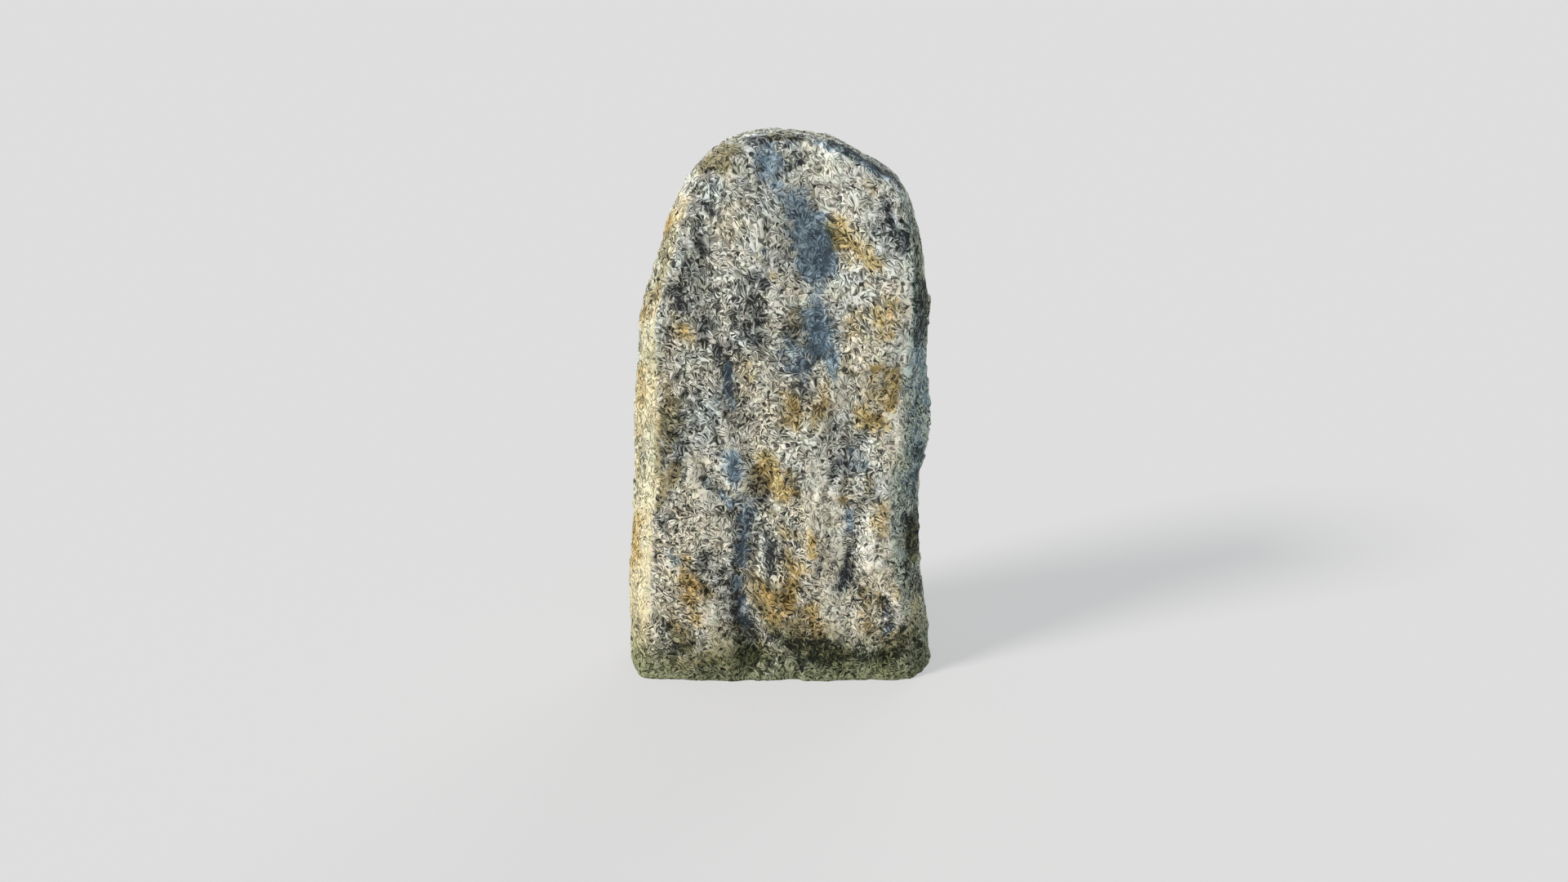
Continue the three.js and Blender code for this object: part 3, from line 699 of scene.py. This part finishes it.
# %% Strokes on the back
BACK_GROWTHS = {  # how many strokes, their least and greatest reach, and how far they run down
    "ochre": (22, 0.014, 0.036, 0.05),
    "stain": (12, 0.014, 0.036, 0.08),
    "damp_and_shade": (6, 0.030, 0.055, 0.10),
    "dark": (16, 0.016, 0.050, 0.12),
    "pale": (12, 0.020, 0.060, 0.10),
}
BACK_ACROSS = (-0.27, 0.27)  # m, where strokes may begin
BACK_UP = (0.05, 1.0)  # m
SWAY = (-0.02, 0.02)  # m, how far a stroke strays sideways
BEND_SHARE = (0.2, 0.6)  # how far down its run a stroke bends
BACK_THICKNESS = (0.3, 0.9)
chance = np.random.default_rng(11)


def chance_strokes(count, least, most, longest):
    strokes = []
    for _ in range(count):
        x, z = chance.uniform(*BACK_ACROSS), chance.uniform(*BACK_UP)
        bend = (x + chance.uniform(*SWAY), z - chance.uniform(*BEND_SHARE) * longest)
        end = (x + chance.uniform(*SWAY), z - longest)
        strokes.append(([(x, z), bend, end], chance.uniform(least, most), chance.uniform(*BACK_THICKNESS)))
    return strokes


BACK = {growth: chance_strokes(*sizes) for growth, sizes in BACK_GROWTHS.items()}
print("the first stroke of ochre on the back begins at %.3f, %.3f" % BACK["ochre"][0][0][0])

# %% [markdown]
# The strokes lie on flat drawings, one for each side, and the stone's sides run into each other. So we ask
# of every point how much it belongs to each side, from the way that it faces. The shares of a point add up
# to one, and where two sides meet, one drawing fades into the next. Water runs down as it goes back over an
# edge, so the strokes of the edges and the back slant with it.

# %% Which side each point is on
BACK_FACES = (-0.1, 0.5)  # how far back a point faces where the back begins, and where it is all back
TOP_FACES = (0.25, 0.55)
LEFT_FACES = (0.26, 0.45)
RIGHT_FACES = (0.36, 0.52)
EDGES_FROM = (0.15, 0.19)  # m from the middle of the width
EDGE_STROKES_END = (-0.05, 0.02)  # m in front of the middle of the thickness
WAVE_HEIGHT = 0.02  # m, how far that line wanders to either side
WAVE_RATE = 45  # radians for each metre of height
EDGE_SLANT = 0.5  # how far strokes slant down as they go back
SLANT_FROM = 0.09  # m in front of the middle of the thickness


def read_vectors(data, field):
    values = np.empty(len(data) * 3)
    data.foreach_get(field, values)
    return values.reshape(-1, 3)


def step(value, start, end):
    share = np.clip((value - start) / (end - start), 0, 1)
    return share * share * (3 - 2 * share)


points = read_vectors(stone.data.vertices, "co")
facing = read_vectors(stone.data.attributes["facing"].data, "vector")
facing /= np.linalg.norm(facing, axis=1)[:, None]
on_back = step(facing[:, 1], *BACK_FACES)
on_top = step(facing[:, 2], *TOP_FACES) * (1 - on_back)
near_side = step(np.abs(points[:, 0]), *EDGES_FROM) * (1 - on_back) * (1 - on_top)
on_left = step(-facing[:, 0], *LEFT_FACES) * near_side * (points[:, 0] < 0)
on_right = step(facing[:, 0], *RIGHT_FACES) * near_side * (points[:, 0] > 0)
on_front = 1 - on_back - on_top - on_left - on_right
wave = WAVE_HEIGHT * np.sin(WAVE_RATE * points[:, 2])
near_front = step(-points[:, 1] + wave, *EDGE_STROKES_END)
on_rest = on_back + (on_top + on_left + on_right) * (1 - near_front)

on_face = points[:, [0, 2]]
slanting = on_face + np.outer(points[:, 1] + SLANT_FROM, (0, EDGE_SLANT))
SIDES = (  # the share of each point, where it counts as lying, and the strokes
    (on_front, on_face, FRONT),
    (on_left * near_front, slanting, LEFT_EDGE),
    (on_right * near_front, slanting, RIGHT_EDGE),
    (on_top * near_front, slanting, TOP_EDGE),
    (on_rest, slanting, BACK),
)
print("shares of the surface:", [round(float(side[0].mean()), 2) for side in SIDES])

# %% [markdown]
# A growth is as thick as its stroke says along the path, and thins out to all sides as a bell curve does.
# Where strokes cross, the thicker one counts. We could paint an image and wrap it round the stone, but a
# number on each point needs no image, and the points lie closer together than any edge of a patch needs.

# %% Paint the strokes on the mesh
def distance_to_path(places, path):
    path = np.array(path)
    nearest = np.linalg.norm(places - path[0], axis=1)
    for start, end in zip(path[:-1], path[1:]):
        run = end - start
        share = np.clip((places - start) @ run / (run @ run), 0, 1)
        nearest = np.minimum(nearest, np.linalg.norm(places - start - share[:, None] * run, axis=1))
    return nearest


def painted(places, strokes):
    cover = np.zeros(len(places))
    for path, reach, thick in strokes:
        cover = np.maximum(cover, thick * np.exp(-((distance_to_path(places, path) / reach) ** 2)))
    return cover


def store(name, values):
    stone.data.attributes.new(name, "FLOAT", "POINT").data.foreach_set("value", values.astype(np.float32))


for growth in FRONT:
    cover = sum(share * painted(places, strokes[growth]) for share, places, strokes in SIDES)
    store(growth, cover)
    print(growth, "covers %.0f%% of the stone" % (100 * (cover > 0.5).mean()))
store("left_edge", on_left)
store("right_edge", on_right)

# %% [markdown]
# ## The lichened crust
#
# From a step away the crust reads as countless slivers, white, cream, grey and nearly black, as if the
# stone were covered in splinters. Each is about two millimetres wide and several times as long. They lie
# side by side in small fans, and the fans lie at every angle, though most lean the same way.
#
# One layer of fans comes from a Voronoi texture. In each of its cells, all slivers point away from one
# spot, the apex, which lies off to one side of the cell. The way to the apex is a random direction, turned
# by a slow noise, the flow. We measure the angle at which the shaded point is seen from the apex, and cut
# it into steps: each step is one sliver, pointed towards the apex. White noise gives every sliver three
# random numbers of its own, and they blend into the next sliver's along one of its sides, so that one side
# is crisp and one is soft. The group below lays one such layer over whatever lies under it, and leaves some
# of its cells out.

# %% Helpers for one layer of slivers
def in_surface(tree, direction, facing):
    """The part of a direction that lies in the surface."""
    outwards = vector(tree, "PROJECT", direction, facing).outputs[0]
    return vector(tree, "SUBTRACT", direction, outwards).outputs[0]


def random_numbers(tree, place, number):
    """Outputs that are random, but always the same for the same place and number."""
    inputs = {"Vector": place, "W": number}
    return add_node(tree, "ShaderNodeTexWhiteNoise", inputs, noise_dimensions="4D").outputs


# %% One layer of slivers
APEX_REACH = 1.4  # how far off the apex lies, for a random way of length 1 and cells of size 1
SOFT_FROM = 0.5  # where across a sliver its soft side begins
LAYER_SHIFT = (311.0, 173.0, 97.0)  # moves each layer's cells, so that no two layers match


def sliver_layer_group():
    tree = bpy.data.node_groups.new("sliver_layer", "ShaderNodeTree")
    sockets = tree.interface
    for name, kind in (
        ("Place", "NodeSocketVector"),
        ("Facing", "NodeSocketVector"),
        ("Flow", "NodeSocketVector"),
        ("Spacing", "NodeSocketFloat"),
        ("Width", "NodeSocketFloat"),
        ("Share", "NodeSocketFloat"),
        ("Numbers", "NodeSocketVector"),
        ("Height", "NodeSocketFloat"),
    ):
        sockets.new_socket(name, in_out="INPUT", socket_type=kind)
    sockets.new_socket("Numbers", in_out="OUTPUT", socket_type="NodeSocketVector")
    sockets.new_socket("Height", in_out="OUTPUT", socket_type="NodeSocketFloat")
    given = tree.nodes.new("NodeGroupInput").outputs

    shift = vector(tree, "MULTIPLY", given["Spacing"], LAYER_SHIFT).outputs[0]
    place = vector(tree, "ADD", given["Place"], shift).outputs[0]
    cell = cells_of(tree, place, given["Spacing"])

    random_way = vector(tree, "SUBTRACT", cell["Color"], MEAN_COLOUR).outputs[0]
    way = in_surface(tree, vector(tree, "ADD", random_way, given["Flow"]).outputs[0], given["Facing"])
    reach = calc(tree, "MULTIPLY", given["Spacing"], APEX_REACH)
    way = vector(tree, "MULTIPLY", way, reach).outputs[0]
    away = vector(tree, "LENGTH", way).outputs["Value"]
    centre = cell["Position"]
    from_centre = vector(tree, "SUBTRACT", place, centre).outputs[0]
    from_apex = vector(tree, "ADD", from_centre, way).outputs[0]
    ahead = vector(tree, "NORMALIZE", way).outputs[0]
    aside = vector(tree, "CROSS_PRODUCT", given["Facing"], way).outputs[0]
    aside = vector(tree, "NORMALIZE", aside).outputs[0]
    lengthwise = vector(tree, "DOT_PRODUCT", from_apex, ahead).outputs["Value"]
    sideways = vector(tree, "DOT_PRODUCT", from_apex, aside).outputs["Value"]
    angle = calc(tree, "ARCTAN2", sideways, lengthwise)
    steps = calc(tree, "DIVIDE", calc(tree, "MULTIPLY", angle, away), given["Width"])
    sliver = calc(tree, "FLOOR", steps)
    across = calc(tree, "FRACT", steps)

    own = random_numbers(tree, centre, sliver)["Color"]
    next_one = random_numbers(tree, centre, calc(tree, "ADD", sliver, 1.0))["Color"]
    numbers = mix(tree, "VECTOR", fade(tree, across, SOFT_FROM, 1.0), own, next_one)
    cell_lot = random_numbers(tree, centre, 0.5)["Value"]
    shown = calc(tree, "LESS_THAN", cell_lot, given["Share"])
    ridge = calc(tree, "SUBTRACT", 1.0, calc(tree, "ABSOLUTE", calc(tree, "SUBTRACT", across, 0.5)))
    height = calc(tree, "ADD", ridge, cell_lot)

    top = {
        "Numbers": mix(tree, "VECTOR", shown, given["Numbers"], numbers),
        "Height": mix(tree, "FLOAT", shown, given["Height"], height),
    }
    add_node(tree, "NodeGroupOutput", top)
    return tree


sliver_layer = sliver_layer_group()
print(len(sliver_layer.nodes), "nodes in one layer of slivers")

# %% [markdown]
# The first layer covers the whole stone with broad fans. Each further layer has smaller fans, in about half
# of its cells, so that fans of all sizes lie side by side and cut into each other.

# %% All the slivers
FANS = (  # size of the fans and width of their slivers, in metres, and the share of cells that have one
    (0.0220, 0.0021, 1.0),
    (0.0170, 0.0018, 0.6),
    (0.0130, 0.0016, 0.5),
    (0.0100, 0.0014, 0.4),
)
FLOW_SCALE = 18.0  # per metre
FLOW_STRENGTH = (1.2, 1.2, 1.2)
LEAN = (-0.16, 0.0, 0.26)  # most slivers lie steeply, from the upper left to the lower right
BARE = ((0.5, 0.5, 0.5), 0.0)  # the numbers and the height under the first layer


def sliver_flow(tree, place):
    """A slow change of direction over the stone, which turns all the fans."""
    noise = {"Vector": place, "Scale": FLOW_SCALE, "Detail": 1.0}
    slow = add_node(tree, "ShaderNodeTexNoise", noise).outputs["Color"]
    centred = vector(tree, "SUBTRACT", slow, MEAN_COLOUR).outputs[0]
    turned = vector(tree, "MULTIPLY", centred, FLOW_STRENGTH).outputs[0]
    return vector(tree, "ADD", turned, LEAN).outputs[0]


def slivers(tree, place, facing):
    """The random numbers of the topmost sliver, and its height."""
    lie = {"Place": place, "Facing": facing, "Flow": sliver_flow(tree, place)}
    numbers, height = BARE
    for spacing, width, share in FANS:
        under = {"Numbers": numbers, "Height": height}
        inputs = {**lie, **under, "Spacing": spacing, "Width": width, "Share": share}
        layer = add_node(tree, "ShaderNodeGroup", inputs, node_tree=sliver_layer)
        numbers, height = layer.outputs["Numbers"], layer.outputs["Height"]
    return numbers, height


# %% [markdown]
# Each kind of growth has its own run of colours, from the dark in its cracks to the light on its tips. A
# colour ramp holds the run, and the tone of each sliver chooses the place on it. Other growths are glazes,
# which multiply the colour under them.

# %% Colour runs and glazes
CRUST_COLOURS = (
    (0.00, (0.031, 0.031, 0.028)), (0.25, (0.148, 0.148, 0.126)), (0.50, (0.325, 0.325, 0.272)),
    (0.75, (0.560, 0.556, 0.468)), (1.00, (0.890, 0.892, 0.800)),
)
# the blue-grey of damp stone, darkened partly as painted shade
DAMP_AND_SHADE_COLOURS = ((0.00, (0.074, 0.102, 0.129)), (0.55, (0.198, 0.290, 0.356)), (1.00, (0.450, 0.560, 0.625)))
# dark greens of algae, and of painted green light thrown up from the turf
ALGAE_AND_GRASS_LIGHT_COLOURS = ((0.00, (0.008, 0.012, 0.004)), (0.50, (0.060, 0.078, 0.028)), (1.00, (0.260, 0.280, 0.140)))


def colour_run(tree, tone, colours):
    ramp = add_node(tree, "ShaderNodeValToRGB", {"Fac": tone})
    elements = ramp.color_ramp.elements
    while len(elements) < len(colours):
        elements.new(0.5)
    for element, (place, colour) in zip(elements, colours):
        element.position = place
        element.color = (*colour, 1)
    return ramp.outputs["Color"]


def opaque(colour):
    """A plain colour with its alpha. The output of a node stays as it is."""
    return colour if isinstance(colour, bpy.types.NodeSocket) else (*colour, 1)


def blend_colours(tree, share, under, over):
    return mix(tree, "RGBA", share, opaque(under), opaque(over))


def glazed(tree, share, under, glaze):
    return mix(tree, "RGBA", share, opaque(under), opaque(glaze), blend_type="MULTIPLY")


# %% [markdown]
# ## The stone's material
#
# The layers go on in order: the pale crust with its dark and pale areas, damp stone with painted shade in
# the hollows, ochre lichen, brown stains, and green algae with painted green light from the turf in tongues
# at the foot.
#
# If a growth were mixed in by its cover alone, its edge would be a soft blur. Real lichen ends raggedly. So
# each place draws a lot, which changes over about a centimetre and a little from sliver to sliver, and the
# growth takes the place if its cover beats the lot. The softness says how gradually it does so.

# %% Ragged edges
LOT_SCALE = 55.0  # per metre
LOT_NOISE = (0.33, 0.67)  # the noise between these two is stretched to lots from 0 to 1
LOT_OWN_SHARE = 0.3  # how much of a lot is drawn by each sliver, and not by the place
LOT_WEIGHT = 0.6
HALF_TAKEN = 0.2  # a growth takes half of a place where its cover leads the weighed lot by this much
GROWTH_EDGES = {  # the axis of its slivers' own lots, the seed of its places' lots, softness, and density
    "damp_and_shade": ("Z", 0, 0.32, 1.0),
    "ochre": ("Y", 1, 0.42, 1.0),
    "stain": ("Z", 2, 0.42, 1.0),
    "dark": ("Y", 3, 0.22, 0.78),
}


def stored(tree, name, output="Fac"):
    """What the mesh has stored on its points under a name."""
    return add_node(tree, "ShaderNodeAttribute", {}, attribute_name=name).outputs[output]


def ragged_lot(tree, place, own_lot, seed):
    noise = {"Vector": place, "W": seed, "Scale": LOT_SCALE, "Detail": 2.0}
    slow = add_node(tree, "ShaderNodeTexNoise", noise, noise_dimensions="4D").outputs["Fac"]
    stretched = {"Value": slow, 1: LOT_NOISE[0], 2: LOT_NOISE[1]}
    place_lot = add_node(tree, "ShaderNodeMapRange", stretched).outputs[0]
    return mix(tree, "FLOAT", LOT_OWN_SHARE, place_lot, own_lot)


def taken(tree, growth, place, lots):
    """How far a growth has taken each place, from its cover there and the place's lot."""
    axis, seed, softness, density = GROWTH_EDGES[growth]
    lot = calc(tree, "MULTIPLY", ragged_lot(tree, place, lots[axis], seed), LOT_WEIGHT)
    cover = calc(tree, "MULTIPLY", stored(tree, growth), density)
    return fade(tree, calc(tree, "SUBTRACT", cover, lot), HALF_TAKEN - softness, HALF_TAKEN + softness)


# %% [markdown]
# The tone says how light a sliver is, from 0 to 1. It starts as a random number. The cavities that we
# stored on the mesh darken the pits, as dirt and as painted shade, and lighten the crests as a painted
# highlight, and the pale and dark strokes bleach or blacken it.
# Noises mottle it, and one of them is drawn out upwards, because rain leaves streaks. Low on the stone and
# on its shaded right edge, where it stays damp for longest, the crust is rougher and its slivers differ
# more.

# %% Tone of the crust
TONE_CURVE = 0.9  # under 1, there are more light slivers than dark ones
DARKEST = (-0.09, -0.17)  # what a rough crust adds to the darkest sliver's tone, and that tone
LIGHTEST = (0.07, 1.13)
ROUGH_HEIGHTS = (0.55, 0.25)  # m, where the crust begins to be rougher, and where it is roughest
# dirt and painted shade in the pits, painted highlight on the crests
CAVITY_DIRT_AND_SHADING_TONES = {  # tone for each metre of depth, and its limits
    "fine_cavity": (-90.0, -0.25, 0.15),
    "broad_cavity": (-24.0, -0.24, 0.14),
}
# pale strokes lighten the tone as lichen and partly as painted highlight; dark ones darken it as lichen and
# partly as painted shade
GROWTH_TONES = {"pale": 0.18, "ochre": 0.05}
DARK_TONE = -0.60
MOTTLING = ((9.0, 0.26), (45.0, 0.15))  # each noise's scale, per metre, and its strength
STREAKING = (45.0, 0.30)
STREAK_SHAPE = (1.0, 1.0, 0.2)  # drawn out five times upwards


def limited(tree, value, scale, least, most):
    """The value times the scale, held between two limits."""
    scaled = calc(tree, "MULTIPLY", value, scale)
    return calc(tree, "MINIMUM", calc(tree, "MAXIMUM", scaled, least), most)


def crust_tone(tree, place, height, lots):
    rough = calc(tree, "MAXIMUM", fade(tree, height, *ROUGH_HEIGHTS), stored(tree, "right_edge"))
    darkest = calc(tree, "MULTIPLY_ADD", rough, *DARKEST)
    lightest = calc(tree, "MULTIPLY_ADD", rough, *LIGHTEST)
    drawn = calc(tree, "POWER", lots["X"], TONE_CURVE)
    tone = add_node(tree, "ShaderNodeMapRange", {"Value": drawn, 3: darkest, 4: lightest}).outputs[0]
    streaked = vector(tree, "MULTIPLY", place, STREAK_SHAPE).outputs[0]
    for part in (
        *(limited(tree, stored(tree, cavity), *limits) for cavity, limits in CAVITY_DIRT_AND_SHADING_TONES.items()),
        *(calc(tree, "MULTIPLY", stored(tree, growth), change) for growth, change in GROWTH_TONES.items()),
        calc(tree, "MULTIPLY", taken(tree, "dark", place, lots), DARK_TONE),
        *(noise_about_zero(tree, place, *noise) for noise in MOTTLING),
        noise_about_zero(tree, streaked, *STREAKING),
    ):
        tone = calc(tree, "ADD", tone, part)
    return tone


# %% [markdown]
# The crust isn't one grey. Its colour drifts between warm and cool over a hand's breadth, and is warmer
# near the ground, and it changes a little between pink and green from sliver to sliver.

# %% Colour of the crust
WARM, COOL = (1.11, 1.00, 0.86), (0.95, 0.985, 1.03)
PINKISH, GREENISH = (1.03, 0.97, 1.03), (0.97, 1.03, 0.96)
WARMTH_OF_LOTS = (0.1, 0.45)  # what a sliver's own lot adds, and what all have
WARMTH_NOISES = ((9.0, 2.2), (32.0, 1.4))
WARM_HEIGHTS = (0.45, 0.10)  # m, where the ground begins to warm the colour, and where it does so most
WARMTH_OF_GROUND = 0.5
TINT_OF_LOTS = (0.8, 0.1)
TINT_NOISE = (60.0, 1.8)


def crust_colour(tree, place, height, lots, tone):
    warmth = calc(tree, "MULTIPLY_ADD", lots["Y"], *WARMTH_OF_LOTS)
    for noise in WARMTH_NOISES:
        warmth = calc(tree, "ADD", warmth, noise_about_zero(tree, place, *noise))
    from_ground = calc(tree, "MULTIPLY", fade(tree, height, *WARM_HEIGHTS), WARMTH_OF_GROUND)
    warmth = calc(tree, "ADD", warmth, from_ground)
    own_tint = calc(tree, "MULTIPLY_ADD", lots["Z"], *TINT_OF_LOTS)
    tint = calc(tree, "ADD", own_tint, noise_about_zero(tree, place, *TINT_NOISE))
    colour = colour_run(tree, tone, CRUST_COLOURS)
    colour = glazed(tree, 1.0, colour, blend_colours(tree, warmth, COOL, WARM))
    return glazed(tree, 1.0, colour, blend_colours(tree, tint, PINKISH, GREENISH))


# %% [markdown]
# Damp stone with painted shade, and algae with painted green light from the turf, hide the crust's own
# colour, so they bring colour runs of their own. The dark strokes, partly painted shade, and the ochre and
# stains are thin, so they are glazes, and so is the cast of each canted edge: yellow on the left one, partly
# lichen and partly painted sunlight, and a cold green on the right, partly algae and partly painted shade.

# %% Growths over the crust
# the cool cast of the dark strokes: black lichen, and partly painted shade
DARK_GLAZE = (0.90, 1.00, 1.16)
YOUNG_OCHRE, OLD_OCHRE = (1.00, 0.89, 0.55), (0.69, 0.445, 0.15)
STAIN_GLAZE = (0.50, 0.44, 0.30)
# yellow on the left edge: lichen and painted sunlight; cold green on the right edge: algae and painted shade
EDGE_GLAZES_WITH_PAINTED_LIGHT = {"left_edge": (0.90, 0.85, 0.69), "right_edge": (0.89, 0.98, 0.94)}
MOST_DAMP_AND_SHADE = 0.92
MOST_ALGAE_AND_GRASS_LIGHT = 0.9
# where the green of algae and of painted light from the turf begins, and where it is full
ALGAE_AND_GRASS_LIGHT_HEIGHTS = (0.10, -0.03)  # m above the reach of its tongue, where algae begin, and where they are full
TONGUE_OF_LOTS = 0.08  # m, how much higher some slivers are green
TONGUE_NOISE = (16.0, 0.14)  # per metre, and m


def with_algae_and_grass_light(tree, place, height, lots, tone, colour):
    own_reach = calc(tree, "MULTIPLY", lots["Z"], TONGUE_OF_LOTS)
    reach = calc(tree, "ADD", own_reach, noise_about_zero(tree, place, *TONGUE_NOISE))
    algae_and_grass_light = fade(tree, calc(tree, "SUBTRACT", height, reach), *ALGAE_AND_GRASS_LIGHT_HEIGHTS)
    share = calc(tree, "MULTIPLY", algae_and_grass_light, MOST_ALGAE_AND_GRASS_LIGHT)
    return blend_colours(tree, share, colour, colour_run(tree, tone, ALGAE_AND_GRASS_LIGHT_COLOURS))


def overgrown(tree, place, height, lots, tone, colour):
    colour = glazed(tree, stored(tree, "dark"), colour, DARK_GLAZE)
    # damp stone, and painted shade in the hollows
    damp_and_shade = calc(tree, "MULTIPLY", taken(tree, "damp_and_shade", place, lots), MOST_DAMP_AND_SHADE)
    colour = blend_colours(tree, damp_and_shade, colour, colour_run(tree, tone, DAMP_AND_SHADE_COLOURS))
    ochre_glaze = blend_colours(tree, lots["Z"], YOUNG_OCHRE, OLD_OCHRE)
    for growth, glaze in (("ochre", ochre_glaze), ("stain", STAIN_GLAZE)):
        colour = glazed(tree, taken(tree, growth, place, lots), colour, glaze)
    for side, glaze in EDGE_GLAZES_WITH_PAINTED_LIGHT.items():
        colour = glazed(tree, stored(tree, side), colour, glaze)
    return with_algae_and_grass_light(tree, place, height, lots, tone, colour)


# %% [markdown]
# Dry lichen and stone are matt. The slivers stand out by a millimetre at most, so a bump is enough for
# them: it tilts the light on their ridges, and the mesh stays as it is.

# %% Dress the stone
ROUGHNESS = (0.98, 0.80)  # of a dark sliver and of a light one
SHINE = 0.25  # half of what a common smooth surface has
BUMP = {"Strength": 0.4, "Distance": 0.002}  # the distance is in metres


def dress(material):
    material.use_nodes = True
    tree = material.node_tree
    place = add_node(tree, "ShaderNodeTexCoord", {}).outputs["Object"]
    height = add_node(tree, "ShaderNodeSeparateXYZ", {0: place}).outputs["Z"]
    facing = vector(tree, "NORMALIZE", stored(tree, "facing", "Vector")).outputs[0]
    numbers, sliver_height = slivers(tree, place, facing)
    lots = add_node(tree, "ShaderNodeSeparateXYZ", {0: numbers}).outputs

    tone = crust_tone(tree, place, height, lots)
    colour = crust_colour(tree, place, height, lots, tone)
    colour = overgrown(tree, place, height, lots, tone, colour)
    ranged = {"Value": lots["X"], 3: ROUGHNESS[0], 4: ROUGHNESS[1]}
    roughness = add_node(tree, "ShaderNodeMapRange", ranged).outputs[0]
    bump = add_node(tree, "ShaderNodeBump", {"Height": sliver_height, **BUMP}).outputs[0]

    shader = tree.nodes["Principled BSDF"]
    shader.inputs["Specular IOR Level"].default_value = SHINE
    for socket, value in (("Base Color", colour), ("Roughness", roughness), ("Normal", bump)):
        tree.links.new(value, shader.inputs[socket])
    return tree


material_tree = dress(lichened_stone)
print(len(material_tree.nodes), "nodes in the stone's material")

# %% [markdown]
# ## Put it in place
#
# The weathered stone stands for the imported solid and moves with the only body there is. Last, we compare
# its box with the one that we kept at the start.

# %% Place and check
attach(stone, "root")
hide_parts("headstone")

visual_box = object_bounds()
grown = (visual_box[1] - visual_box[0]) - (cad_box[1] - cad_box[0])
print("grown by, in mm:", [round(1000 * length, 1) for length in grown])
